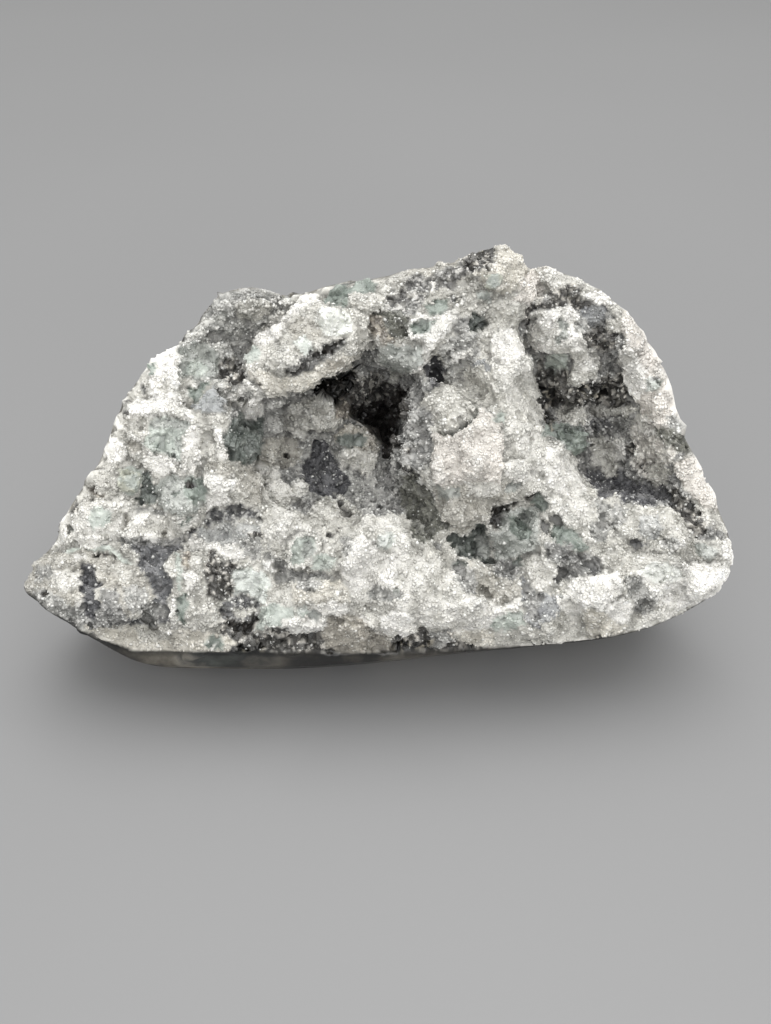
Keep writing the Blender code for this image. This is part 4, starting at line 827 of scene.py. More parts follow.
        (36, -14.2), (34.5, -12.5), (33, -12), (32, -10.4), (30, -9.7))),
    ("light sugar right", "light", 0.2, 0.5, (
        (38.4, -13), (40.6, -12.6), (42.4, -13.6), (44.6, -15.2), (45, -17.6), (43.6, -19.6), (40.4, -18.6),
        (38.8, -16.6))),
    ("olive spot", "olive", -0.5, 0.3, (
        (39.2, -9.8), (40.8, -9.6), (41, -11.6), (39.6, -12.4), (38.8, -11.2))),
    ("flat lump", "light", 0.6, 0.5, (
        (41, -12.3), (41.2, -10.8), (43, -9.2), (46, -8.5), (50, -8.4), (51.5, -9.5), (53.5, -11),
        (55, -13), (56, -14.3), (57.4, -15), (59.5, -15.5), (59.5, -17), (56.5, -18.4), (54, -18.1),
        (52, -16.7), (50, -16.4), (47, -16), (44.5, -15), (42.5, -13.5))),
    ("lump blue", "blue light", -0.1, 0.3, (
        (46, -10.2), (48.6, -10), (49.2, -12.4), (48.4, -14.6), (46.2, -14.4), (45.4, -12.4))),
    ("lump dark edge", "matrix", -0.4, 0.3, (
        (44, -14.2), (46, -14.7), (47.3, -15.4), (45, -15.5), (43.6, -14.8))),
    ("lump brown mottle", "grey", -0.2, 0.3, (
        (49.4, -14.4), (51.4, -14.2), (52.7, -15.4), (51.6, -16.5), (49.6, -16))),
    ("lump olive", "light", -0.3, 0.3, (
        (52.4, -16.6), (54, -16.3), (55.2, -17.4), (54, -18.4), (52.6, -17.6))),
    ("lump green grey", "green grey", 0.0, 0.3, (
        (55.4, -15), (58, -15.2), (59.4, -16.6), (57.6, -18), (55.8, -17))),
    ("corner wide", "bright", 0.3, 0.5, from_photo(
        (640, 572), (660, 576), (680, 578), (692, 570), (705, 575), (708, 590), (700, 602), (685, 610),
        (665, 612), (650, 604), (640, 595), (636, 583))),
    ("oval window", "ice", -0.3, 0.3, (
        (45.5, -20), (46.5, -18.7), (48.5, -18.3), (51, -18.8), (53, -19.8), (53.3, -20.8), (51.5, -21.6),
        (49.5, -22.1), (47, -21.4))),
    ("oval shade", "ice", -0.1, 0.3, (
        (46.8, -19.6), (48.2, -18.6), (50.2, -18.9), (51, -20), (49, -20.2), (47.6, -20.6))),
    ("corner", "bright", 0.5, 0.6, (
        (52.6, -18.6), (55, -18.4), (58, -18.2), (60.4, -18), (61.4, -20), (60, -22.8), (57, -25),
        (54.6, -25.4), (53.4, -23.2), (53.6, -20.8))),
    ("corner edge", "bright", 0.3, 0.4, (
        (59.8, -14), (61.4, -14), (62.4, -18), (61.6, -19.6), (60.4, -18), (59.8, -16))),
    ("corner spot", "bright", -0.4, 0.2, ((52.6, -22.2), (53.8, -22.4), (53.7, -23.4), (52.7, -23.2))),
    ("corner spot low", "bright", -0.4, 0.2, ((51, -23), (52, -23.2), (51.9, -24), (51, -23.9))),
    ("grey hollow", "light", -0.5, 0.5, (
        (41.8, -20.4), (44.4, -20), (45, -21.2), (46.5, -23), (47.8, -24.5), (48.8, -26), (47, -26.4),
        (45.8, -27.6), (44, -27.3), (44.6, -25.5), (43.5, -24.3), (42.3, -23.6), (42.9, -21.8))),
    ("low cream", "bright", 0.3, 0.5, (
        (40, -25.4), (42, -24.4), (43.4, -25), (44.2, -26.4), (43.8, -28.6), (41, -28.9), (39.2, -27.6))),
    ("low brown", "white", -0.3, 0.4, ((33, -26.2), (35.2, -25.9), (35.6, -28.4), (33.6, -28.9))),
    ("low grey", "light", -0.1, 0.5, (
        (28, -28.6), (30.2, -28.4), (32.6, -26.6), (33, -29), (36, -29), (36.6, -31.4), (29, -32))),
    ("low mottled", "cream", 0.1, 0.4, from_photo(
        (582, 608), (604, 614), (616, 624), (630, 628), (618, 636), (588, 638), (584, 624))),
    ("low blue dark", "dark grey", -0.3, 0.4, from_photo(
        (523, 580), (534, 590), (544, 594), (540, 604), (542, 620), (530, 624), (525, 608))),
    ("grey hollow dark", "dark grey", -0.2, 0.3, from_photo(
        (634, 600), (650, 602), (654, 608), (646, 615), (635, 612))),
    ("low grey right", "white", 0.0, 0.5, (
        (45.2, -27.8), (47.4, -26.6), (51.6, -25.2), (51.6, -28), (48, -30), (44.6, -30.4))),
    # The recess on the right
    ("recess", "dark grey", -0.2, 0.4, (
        (26.5, 18.6), (27.2, 17.5), (27.5, 15), (28.4, 12.5), (28.3, 10), (29, 8.3), (28.5, 6.5), (29, 4),
        (30.5, 3.3), (31.8, 3), (32.5, 2), (34, 1), (35.2, 0), (35.4, -2), (36.5, -4), (38, -6), (39, -7.2),
        (40, -6.8), (41.5, -5.8), (42.2, -7.8), (44, -8.3), (51, -8.4), (54, -11.5), (56, -14.5),
        (60, -14.3), (60.5, -13.3), (58, -12), (55.5, -11.2), (55.3, -9), (53.8, -5.5), (52, -3.3),
        (51.6, -1), (53.8, 0.6), (55.2, 1.4), (54, 5), (51, 4.6), (47.5, 6), (46.3, 7.2), (46, 9),
        (45, 10.6), (44.2, 12.4), (43.2, 15), (44.5, 17.6), (43.4, 19.4), (43, 24), (40, 27.4), (36, 28.6),
        (30, 29), (26.4, 27.4), (25.2, 23.2))),
    ("recess deep", "umber", -0.3, 0.4, (
        (28.4, 9.4), (29.4, 8.8), (32.4, 9.8), (34, 9.2), (36.4, 9.4), (40, 9.2), (44, 9.4), (44, 12),
        (43, 14.8), (40, 15), (38.8, 12.8), (35, 12.2), (33, 13.4), (33.4, 16), (31.4, 15), (29.6, 15.8),
        (28.6, 17.4), (27.8, 15), (28.6, 12.4))),
    ("recess lump", "light", 0.6, 0.9, (
        (33.4, 14), (34.3, 16.5), (36, 17.9), (38.3, 18.6), (39.7, 17), (39.1, 15.3), (38.1, 13.2),
        (36.9, 11.9), (35, 12.4), (33.5, 13.2))),
    ("recess lump top", "bright", 0.1, 0.4, (
        (34.4, 16), (36, 17.8), (38.3, 18.5), (39.5, 16.9), (38, 15.6), (36, 15.6))),
    ("recess slab", "pale green", 0.3, 0.3, (
        (29.5, 17.6), (31, 18.9), (33.8, 18.1), (33.4, 16), (31.3, 15.3), (29.8, 15.8))),
    ("recess crystals", "light", 0.2, 0.5, (
        (31.3, 8), (32.5, 9.6), (34, 9.1), (36, 9.3), (37.1, 7.5), (36.6, 6), (33, 6.2), (31.6, 6.8))),
    ("recess green", "green", 0.3, 0.4, (
        (29, 5.5), (30.5, 6.1), (33, 6.1), (35.5, 5.9), (37.1, 4.3), (37.3, 2.2), (36, 1.1), (35, 0.4),
        (33.5, 1.2), (32.3, 2.7), (30.8, 3.4), (29, 4))),
    ("recess green ridge", "deep green", -0.2, 0.2, (
        (31.8, 5.6), (34, 5.9), (36, 5.3), (35.6, 4.7), (33.4, 5), (31.8, 4.8))),
    ("recess blue black", "matrix", -0.2, 0.3, ((37.2, 7), (41, 7.2), (41.6, 5.4), (39, 4.8), (37.2, 5.2))),
    ("recess grey band", "light", 0.3, 0.4, (
        (37.2, 7.6), (40, 7.4), (44, 7.6), (46, 8.6), (44, 9.3), (40, 9.1), (37.4, 9.2))),
    ("recess curl", "bright", 0.3, 0.3, (
        (37.4, 2), (38, 3), (39.4, 3.7), (40.6, 3.5), (40, 2.9), (38.8, 2.6), (38, 1.8))),
    ("recess curl grey", "light", 0.2, 0.3, ((38.6, 2.4), (40.8, 2.9), (41.2, 1.8), (39, 1.4))),
    ("recess pale", "bright", 0.2, 0.4, ((40.6, 3), (42.8, 3.4), (43.6, 1.6), (43, -0.4), (41, -0.7))),
    ("recess white", "white", 0.2, 0.3, ((37.4, 0.6), (39, 0.9), (39.4, -0.6), (38.4, -1.7), (37.3, -1))),
    ("recess streaks", "streaks", 0.1, 0.4, (
        (44.8, 5.8), (47, 6.3), (50.4, 5.2), (52, 3.8), (53, 2), (51.8, -0.6), (50, -2.4), (46, -3.4),
        (44.4, -1), (45.4, 1), (44, 3.4))),
    ("recess dark pit", "umber", -0.4, 0.3, (
        (43.4, 2.2), (44.6, 2.6), (45.3, 1.2), (44.4, -0.2), (43.4, 0.6))),
    ("recess dark pit low", "umber", -0.4, 0.3, ((45.8, -1), (48, -0.8), (48.2, -2.6), (46.2, -3))),
    ("recess white streak", "bright", 0.2, 0.2, (
        (44.8, 4.5), (47, 5), (49.2, 4.9), (48.8, 4.3), (46.6, 4.2))),
    ("recess floor", "dark blue", -0.1, 0.4, (
        (36.2, -2.2), (39, -2), (42.4, -1.6), (44, -3.8), (48, -5), (52, -5.2), (52.2, -8), (46, -8),
        (42.4, -7.6), (41.4, -5.9), (39, -7), (37.2, -4.8))),
    ("recess olive", "olive", -0.1, 0.3, ((52.7, 2.4), (54.4, 2.7), (55, 1.4), (54, 0.7), (52.8, 1))),
    ("right rim", "warm", 0.7, 0.6, (
        (43, 15.2), (44, 13), (45.5, 10.5), (46.5, 9), (46.3, 7), (47.5, 6.2), (50, 5.3), (52, 4),
        (54.4, 5.2), (53.9, 7.5), (52.7, 10.5), (51.6, 13.5), (50.6, 16.3), (49.3, 18.9), (48, 21),
        (46, 24), (44, 26.8), (43, 24), (43.8, 20), (44.5, 17.5))),
    ("right rim green", "clear", -0.1, 0.3, (
        (47, 12), (49.4, 11.6), (50.2, 13.6), (48.4, 14.9), (46.8, 13.8))),
    ("right rim spot", "dark grey", -0.4, 0.2, ((48.8, 14.5), (49.8, 14.5), (49.8, 13.6), (48.9, 13.5))),
    ("right rim low", "warm", 0.5, 0.6, (
        (52, -1), (54, 0.2), (56.4, 0.6), (57.4, -2), (59, -5.5), (60.4, -9.5), (57, -8.6), (55.3, -7.5),
        (54.2, -5.5), (52.5, -3.5), (52, -2.3))),
    # Top right
    ("top lump", "cream", 0.5, 0.7, (
        (17, 33), (19, 33.6), (21, 35.2), (20.6, 37.8), (22, 38.5), (24, 37.8), (25.8, 37), (27, 35.2),
        (26.6, 33), (25.6, 30.6), (24, 29.4), (21.6, 29.6), (19.8, 30.2), (18.4, 31.4))),
    ("top speckle", "umber", -0.2, 0.4, (
        (15.6, 37.6), (18, 38.4), (20.4, 38), (20.4, 35), (19, 33.6), (16.4, 33.4), (15, 35))),
    ("top ball", "green ball", 0.5, 0.9, (
        (19.2, 32.2), (20.2, 33), (21.4, 32.6), (21.6, 31.2), (20.6, 30.5), (19.3, 30.9))),
    ("top ring", "clear", -0.2, 0.3, (
        (17.6, 29.4), (18.8, 30.2), (20.2, 29.6), (20.2, 28.4), (18.8, 27.8), (17.6, 28.4))),
    ("top pink", "warm", 0.4, 0.7, (
        (24, 28), (25, 30), (26, 32.6), (28, 34.8), (29.6, 34.6), (30, 32.4), (29.6, 30.4), (28.6, 28.8),
        (26.4, 27.6))),
    ("below the ball", "light", 0.3, 0.5, (
        (19.4, 23.6), (19.6, 25.8), (17.6, 26.4), (18.4, 28), (20.6, 28.2), (23.6, 28.4), (25.8, 27.4),
        (25, 23.4), (22, 23))),
    ("recess ring", "bright", 0.6, 0.4, (
        (27, 20.3), (26.4, 22.3), (28.3, 24.4), (29, 26.4), (31, 27), (34, 27.1), (35.6, 26.1), (35.8, 24),
        (36.2, 22), (37.2, 20.4), (36, 19.3), (33, 18.6), (30, 19.1), (28, 19))),
    ("recess ring green", "green grey", -0.5, 0.3, (
        (31.5, 24.9), (33, 24.9), (33.8, 23.2), (33.1, 21), (31.4, 20.6), (32.2, 22.5))),
    ("recess ring outside", "umber", -0.2, 0.4, (
        (26.5, 27.5), (28.5, 28.4), (30.2, 28.6), (30.3, 30), (32, 30.2), (34, 31.4), (35.8, 30.6),
        (36.3, 28.7), (38, 27.6), (36, 26.6), (34, 27.4), (31, 27.3), (28.6, 26.4), (28, 24.8),
        (26.2, 23.6), (25.4, 25.6))),
    ("ring outside blue", "blue grey", -0.2, 0.4, (
        (36, 26.6), (38, 27.6), (40.2, 27.2), (40, 24.6), (37.4, 23.6), (36, 24.2))),
    ("ring outside black", "umber", -0.3, 0.4, (
        (36.4, 22.4), (38.6, 23.4), (42, 22.6), (42.4, 19.4), (40, 18.4), (37.4, 20))),
    ("ring outside tan", "light", 0.2, 0.3, (
        (40.2, 24.6), (42.6, 25), (43.4, 22.8), (41.6, 22.2), (40, 23))),
    ("rim bright", "bright", 0.3, 0.3, (
        (36.6, 29.6), (38.4, 30.2), (40.4, 29.6), (42.6, 27.4), (41, 27.2), (38.4, 27.8), (36.6, 28.8))),
    # Lights and darks over the rest: partly the stone's own tones, partly painted light on surfaces that lie
    # in shade and painted shade in hollows and on faces turned away
    ("recess tail", "umber", -0.3, 0.3, from_photo(
        (668, 487), (680, 490), (690, 500), (698, 512), (708, 526), (704, 537), (692, 530), (681, 518),
        (671, 507))),
    ("rim olive", "olive", -0.2, 0.4, from_photo(
        (653, 425), (667, 429), (681, 431), (688, 441), (690, 452), (678, 450), (667, 445), (656, 437))),
    ("dome shade", "grey", -0.2, 0.3, from_photo(
        (338, 537), (346, 535), (352, 541), (353, 552), (347, 558), (341, 551))),
    ("front cream shade", "grey", -0.1, 0.3, from_photo(
        (296, 580), (308, 577), (321, 580), (324, 588), (313, 592), (300, 590))),
    ("band tan wide", "tan", 0.1, 0.5, from_photo(
        (330, 617), (346, 614), (363, 617), (372, 632), (389, 637), (393, 648), (375, 654), (345, 655),
        (328, 648), (322, 636))),
    ("below band grey", "grey", -0.1, 0.3, from_photo(
        (240, 537), (252, 535), (262, 542), (263, 556), (252, 561), (243, 552))),
    ("floor dark right", "dark grey", -0.2, 0.4, from_photo(
        (352, 458), (364, 456), (376, 462), (382, 474), (374, 484), (360, 482), (352, 472))),
    # painted light: brightens the wall's right slope, which lies in shade
    ("right slope", "bright", 0.2, 0.6, from_photo(
        (547, 446), (558, 451), (568, 460), (577, 472), (587, 489), (578, 498), (564, 498), (550, 488),
        (542, 470))),
    ("under recess", "grey", -0.1, 0.4, from_photo(
        (596, 500), (612, 503), (625, 508), (628, 520), (617, 530), (603, 529), (596, 518))),
    ("band light", "bright", 0.3, 0.3, from_photo(
        (378, 618), (390, 612), (404, 612), (416, 620), (418, 631), (408, 639), (396, 640), (384, 635))),
    ("foot dark right", "coal", -0.3, 0.3, from_photo(
        (392, 644), (404, 641), (418, 644), (432, 642), (440, 646), (425, 652), (405, 656), (392, 655))),
    # painted light: brightens the recess's pale crystals, which lie in shade
    ("recess mid light", "light", 0.3, 0.3, from_photo(
        (592, 438), (604, 436), (612, 448), (618, 464), (616, 476), (606, 476), (600, 462), (592, 452))),
    ("ring low", "white", 0.4, 0.3, from_photo(
        (570, 348), (582, 344), (593, 348), (598, 358), (590, 366), (578, 368), (570, 360))),
    ("ring left", "bright", 0.5, 0.3, from_photo(
        (528, 318), (538, 310), (548, 312), (550, 326), (546, 340), (536, 342), (529, 332))),
    # painted shade under the recess lump's lower edge
    ("deep spot", "coal", -0.4, 0.3, from_photo(
        (580, 385), (592, 379), (604, 385), (604, 398), (592, 402), (581, 396))),
    # painted light: brightens the right rim's inner slope, which faces away from the lamps
    ("rim inner", "bright", 0.4, 0.5, from_photo(
        (622, 345), (636, 352), (646, 370), (648, 392), (640, 400), (630, 392), (622, 375), (616, 360))),
    ("slab gap dark", "dark grey", -0.3, 0.3, from_photo(
        (543, 545), (556, 540), (570, 544), (574, 556), (562, 563), (548, 560))),
    ("wall side light", "bright", 0.2, 0.4, from_photo(
        (506, 464), (518, 459), (531, 464), (533, 478), (522, 486), (509, 480))),
    ("ridge right light", "light", 0.2, 0.3, from_photo(
        (455, 280), (468, 276), (478, 284), (476, 298), (464, 302), (455, 294))),
    ("low front bright", "bright", 0.3, 0.3, from_photo(
        (312, 604), (328, 600), (345, 602), (352, 612), (338, 618), (320, 616))),
    ("druse strip", "grey", -0.2, 0.3, from_photo(
        (452, 566), (462, 562), (472, 570), (478, 584), (474, 596), (462, 592), (454, 580))),
    ("middle matrix", "dark grey", -0.3, 0.3, from_photo(
        (490, 562), (504, 558), (520, 562), (522, 574), (510, 580), (496, 576))),
    ("grey hollow wide", "grey", -0.3, 0.4, from_photo(
        (626, 577), (640, 577), (650, 588), (656, 602), (650, 614), (640, 611), (631, 600), (625, 587))),
    ("stain wide", "olive", -0.2, 0.3, from_photo(
        (384, 312), (398, 308), (408, 316), (410, 330), (402, 340), (390, 338), (383, 326))),
    ("recess edge dark", "coal", -0.4, 0.3, from_photo(
        (544, 408), (552, 410), (557, 422), (554, 433), (547, 429), (543, 418))),
    ("ridge right shade", "grey", -0.1, 0.3, from_photo(
        (590, 524), (602, 522), (610, 530), (606, 540), (596, 542), (588, 534))),
    # painted light: lifts the cliff's foot out of the hollow's shade
    ("cliff foot light", "bright", 0.2, 0.3, from_photo(
        (250, 460), (262, 458), (272, 466), (270, 480), (258, 482), (250, 472))),
    ("band brown", "bright", 0.2, 0.3, from_photo(
        (282, 621), (296, 617), (312, 620), (326, 618), (324, 633), (308, 637), (290, 635))),
    ("foot dark left", "coal", -0.3, 0.3, (
        (-25.5, -32.5), (-23, -32.2), (-20.5, -32.5), (-19.2, -33.6), (-20, -35.2), (-24.6, -35.2),
        (-26.2, -33.8))),
    ("low light", "bright", 0.1, 0.4, (
        (30.8, -24.4), (33.4, -23.9), (36.4, -24.9), (36.6, -26.4), (34.6, -27.4), (31.6, -26.8))),
    ("tail light", "white", 0.1, 0.4, (
        (15.4, -4.4), (18.4, -4), (21.2, -4.6), (21.4, -6.2), (18.6, -7.2), (15.8, -6.6))),
    # painted light: brightens the lower recess, which lies in shade
    ("recess low light", "light", 0.1, 0.3, (
        (46.8, -1.4), (49.4, -0.8), (51.2, -2.4), (50.8, -4.6), (48.4, -5), (46.8, -3.6))),
    ("recess top light", "white", 0.1, 0.3, (
        (44.6, 6.2), (46.2, 8.6), (48.2, 7.4), (48.2, 5.4), (46.4, 4.8))),
    ("deep left", "coal", -0.3, 0.3, ((28.8, 9), (31.2, 9.2), (31.8, 11.6), (30.6, 13.2), (28.8, 12.6))),
    ("druse light", "light", 0.1, 0.4, (
        (15.2, 12.8), (17.8, 12.4), (19.2, 14.2), (18.4, 16.4), (16.2, 16.2), (14.8, 14.6))),
    ("pit shade", "dark grey", -0.2, 0.3, (
        (13.4, 22.4), (15.4, 22), (16.6, 23.6), (15.8, 25.4), (13.8, 24.8))),
    ("speckle shade", "dark grey", -0.2, 0.3, (
        (4.2, 25.8), (6.4, 25.2), (7.6, 26.6), (6.6, 28.2), (4.6, 27.8))),
    ("rim shade", "grey", -0.1, 0.3, ((50.9, 7.2), (52.6, 7.4), (53.8, 5.8), (52.8, 4.6), (51, 5))),
    ("ring side", "grey", -0.1, 0.3, ((34.8, 22.6), (36.6, 22.2), (37.6, 23.8), (37, 25.6), (35.2, 25.2))),
    ("rim white", "white", 0.3, 0.4, (
        (28, 33.6), (31, 34), (35, 33), (36.8, 31.6), (36, 30.6), (34, 31.4), (31.6, 30.2), (30, 30.4),
        (29, 32))),
)

# The crust of the hollow, in the same form
CRUST_PATCHES = (
    ("floor left", "grey", 0.0, 0.4, (
        (-21, 3), (-20.4, 7), (-19, 10), (-16, 10.6), (-14.8, 8), (-15, 5), (-15, 3))),
    ("floor pink", "tan grey", 0.0, 0.4, (
        (-21, 3.4), (-15, 3.6), (-13.4, 1.6), (-13.6, -1), (-16, -1.6), (-19, -1.6), (-21, 0))),
    ("cliff", "dark green", 0.0, 0.4, (
        (-27.2, 3.5), (-26.2, 5.5), (-25.2, 7.5), (-23.6, 8.5), (-23, 6.9), (-21.5, 6.6), (-20.2, 7.2),
        (-20.1, 4), (-20.2, 2), (-21, 0), (-22.3, -1.1), (-23.5, -1.4), (-25.2, -0.5), (-26.4, 1))),
    ("cliff light", "dark green", 0.2, 0.3, (
        (-24, 3.2), (-22.8, 3.4), (-22.2, 1), (-22.8, -1), (-24, -1), (-24.4, 1))),
    ("cliff foot", "tan grey", 0.1, 0.4, (
        (-24.6, -1.2), (-22, -1.2), (-20.4, -3), (-20.2, -8), (-23, -8.4), (-25, -4.6))),
    ("first lump", "light", 0.8, 1.0, (
        (-16, 9), (-15, 10), (-12.5, 10.6), (-10, 11.5), (-8.4, 11.4), (-7.4, 10.3), (-6.4, 9.5),
        (-5.7, 7.5), (-6.5, 5.9), (-8.5, 4.9), (-10.5, 4.4), (-12.5, 4.9), (-14.5, 5.4), (-15.6, 7))),
    # painted light: the first lump's left side made white, out of the hollow's shade
    ("first lump left", "white", 0.8, 0.4, from_photo(
        (288, 406), (300, 402), (310, 410), (312, 428), (304, 440), (292, 438), (286, 424))),
    ("first lump side", "brown", -0.2, 0.3, (
        (-8.2, 7), (-7.6, 10), (-6.4, 10.8), (-4.8, 9), (-4.6, 7.2), (-6.4, 6.8))),
    ("second lump", "tan", 0.7, 0.8, (
        (-8, 4), (-6, 5.6), (-3.5, 6.4), (-2, 5.6), (-0.5, 4.1), (0.1, 2.5), (0.6, 1), (-1, 0), (-3, 0.9),
        (-5, 1.4), (-7.2, 2.4))),
    ("second window", "dark green", -0.3, 0.3, (
        (-7.5, 3.5), (-5, 4.4), (-3, 4.3), (-1.5, 3.2), (-3, 2.1), (-5, 1.5), (-7, 2.3))),
    # the floor's pale sugar, made white as painted light against the hollow's deep shade
    ("floor bright", "white", 0.3, 0.5, (
        (-7.5, 1), (-4, 1.5), (-1, 0.8), (0.6, 1), (-0.4, -1.5), (-2, -3.6), (-5, -1.5), (-6.5, -2.2),
        (-7, -0.5))),
    ("floor blue", "dark blue", -0.4, 0.4, (
        (-10.7, 3.1), (-9.5, 3.1), (-8.3, 1.5), (-7.5, 0), (-6.7, -1.8), (-5.5, -3), (-4.5, -4.5),
        (-6, -6.5), (-8.5, -6.8), (-10, -6.5), (-11.8, -6), (-12.6, -3.5), (-13.6, -2.3), (-13.4, -0.9),
        (-11.6, -0.2), (-11.3, 1.5))),
    ("third lump", "white", 0.6, 0.9, (
        (-20, -4), (-19, -2), (-17.5, -1.1), (-16, -2.1), (-14.5, -2.8), (-13, -3.8), (-11.8, -5),
        (-12.5, -6.3), (-14, -7.1), (-16, -8.1), (-18, -8.1), (-19.8, -7.5), (-20.4, -5.8))),
    ("third lump shade", "dark grey", -0.1, 0.4, (
        (-17.4, -1.6), (-15.6, -1.4), (-13.6, -2.8), (-13.4, -4.4), (-15.2, -5), (-17, -3.8))),
    ("floor pit", "white", -0.4, 0.3, ((-17.2, 8), (-15.4, 8.2), (-15, 6), (-16.6, 5.4))),
    ("floor pit low", "black", -0.4, 0.2, ((-16.6, 1), (-15.6, 1), (-15.5, 0), (-16.5, -0.1))),
    ("floor front", "dark grey", -0.2, 0.4, (
        (-15.6, -8.5), (-13, -7), (-11, -7.2), (-9.4, -6.8), (-11, -8.5), (-12.5, -10.2), (-14.6, -9.4))),
    ("floor front lump", "light", 0.4, 0.6, (
        (-12.3, -9.8), (-10.5, -7.5), (-9, -6.8), (-7.6, -7), (-6.9, -8.2), (-5.6, -9.8), (-8, -11),
        (-11, -10.8))),
    ("floor crevice", "black", -0.6, 0.2, (
        (-8.2, -6.1), (-7.2, -7), (-6.2, -8.6), (-4.9, -9.8), (-5.2, -10.2), (-6.6, -9), (-7.6, -7.6))),
    ("floor shard", "light", 0.4, 0.3, (
        (-7.8, -6), (-6, -6.2), (-4.4, -8), (-3.1, -9.3), (-4.4, -9.9), (-5.7, -8.6), (-7, -7))),
    ("floor right", "grey", 0.0, 0.4, (
        (-4.4, -4.6), (-2, -3.6), (-0.4, -1.6), (0.8, -1), (0.6, -6), (-1, -9.6), (-3.2, -9.2),
        (-4.6, -7.8))),
    # painted shadow: the black of the deep hole, on crust that is also sunk
    ("throat", "black", -0.6, 0.3, (
        (-12.5, 12.4), (-11, 13.6), (-8.5, 13.8), (-7.3, 15.6), (-5, 15.8), (-3.5, 15), (0, 14), (1.5, 13),
        (3.5, 13.4), (5.4, 12), (5.4, 7), (4.6, 3), (2.6, -0.2), (1.2, 0.5), (0.5, 2), (0, 3.5), (-1.5, 5),
        (-2.5, 6.4), (-4, 7.3), (-4.9, 8.3), (-5.4, 9.6), (-7, 10.8), (-8.4, 11.9), (-10, 12))),
    ("throat side", "dark grey", 0, 0.4, (
        (3.2, 6.6), (4.6, 7), (5.6, 5.6), (5, 3.4), (3.8, 2.4), (3, 4.4))),
    # painted shadow: the hole's upper left arm, near black and sunk deep into the crust
    ("hole arm", "pitch", -2, 0.5, (
        (-11.8, 13.6), (-10.3, 14.7), (-8.4, 15), (-7, 15.8), (-5.7, 16), (-4.6, 15), (-4.1, 12.8),
        (-4.6, 10.8), (-6.2, 10.3), (-7.8, 11), (-9.2, 12.1), (-10.9, 12.8))),
    # painted shadow: the arm's lower part, near black and sunk
    ("hole arm low", "pitch", -1.4, 0.4, from_photo(
        (312, 386), (324, 387), (338, 396), (344, 406), (336, 406), (324, 400), (315, 394))),
    ("hole crystals", "umber", -0.3, 0.6, (
        (-5, 14.8), (-1.1, 15.3), (2.5, 13.2), (3.5, 11.4), (1.8, 10.5), (-1.8, 9.8), (-3.5, 9.6),
        (-4.2, 11.7))),
)

# Least length that a vector is divided by
TINY = 1e-9


def collection_of(name):
    made = bpy.data.collections.new(name)
    bpy.context.scene.collection.children.link(made)
    return made


PIECES = collection_of("visual_pieces")


def face_matrix():
    """From face axes in millimetres to the world in metres."""
    up = Vector((0, math.cos(FACE_TILT), math.sin(FACE_TILT)))
    out = Vector((0, -math.sin(FACE_TILT), math.cos(FACE_TILT)))
    turn = Matrix((Vector((1, 0, 0)), up, out)).transposed()
    return Matrix.Translation(FACE_MIDDLE) @ turn.to_4x4() @ Matrix.Scale(MM, 4)


TO_WORLD = face_matrix()
TO_FACE = TO_WORLD.inverted()
WORLD_UP = np.array(TO_WORLD)[2]
EYE = np.array(TO_FACE @ (FACE_MIDDLE + CAMERA_FROM_FACE))


def height_of(points):
    """Each point's height above the floor, in metres."""
    return points @ WORLD_UP[:3] + WORLD_UP[3]


def smooth_step(low, high, value):
    share = np.clip((value - low) / (high - low), 0.0, 1.0)
    return share * share * (3 - 2 * share)


def linear(colour):
    """A colour as read, 0 to 255, as linear light."""
    share = np.array(colour) / 255
    return np.where(share <= 0.04045, share / 12.92, ((share + 0.055) / 1.055) ** 2.4)


def rim_curve():
    """The rim as angle and radius, from a smooth closed curve through its points."""
    points = np.array(RIM)
    steps = np.arange(RIM_STEPS)[:, None] / RIM_STEPS
    curve = []
    for i in range(len(points)):
        before, start, end, after = (points[(i + k) % len(points)] for k in (-1, 0, 1, 2))
        curve.append((
            2 * start
            + (end - before) * steps
            + (2 * before - 5 * start + 4 * end - after) * steps ** 2
            + (3 * start - before - 3 * end + after) * steps ** 3
        ) / 2)
    curve = np.concatenate(curve)
    angle = np.arctan2(curve[:, 1], curve[:, 0])
    order = np.argsort(angle)
    return angle[order], np.hypot(curve[:, 0], curve[:, 1])[order]


RIM_ANGLE, RIM_RADIUS = rim_curve()


def hull_section(points):
    """For each point: where the hull's middle lies along t, the hull's radius and the point's own."""
    deep = np.clip(-points[:, 2] / HULL_DEPTH, 0.0, 1.0)
    middle = HULL_LEAN * deep
    across = points[:, 1] - middle
    angle = np.arctan2(across, points[:, 0])
    rim = np.interp(angle, RIM_ANGLE, RIM_RADIUS, period=2 * math.pi)
    share = (1 - deep ** HULL_FULLNESS) ** (1 / HULL_FULLNESS)
    return middle, rim * share, np.hypot(points[:, 0], across)


def read(items, name, width=1, kind=np.float32):
    """One property of a mesh's items, as an array with a row for each."""
    values = np.empty(len(items) * width, kind)
    items.foreach_get(name, values)
    return values.reshape(-1, width) if width > 1 else values


def from_mesh(mesh):
    points = read(mesh.vertices, "co", 3)
    normals = read(mesh.vertex_normals, "vector", 3)
    return points.astype(float), normals.astype(float)


def edges_of(mesh):
    return read(mesh.edges, "vertices", 2, np.int32)


def set_points(mesh, points):
    mesh.vertices.foreach_set("co", points.astype(np.float32).ravel())
    mesh.update()


def bake_modifiers(obj):
    graph = bpy.context.evaluated_depsgraph_get()
    graph.update()
    data = bpy.data.meshes.new_from_object(obj.evaluated_get(graph))
    obj.modifiers.clear()
    old = obj.data
    obj.data = data
    bpy.data.meshes.remove(old)


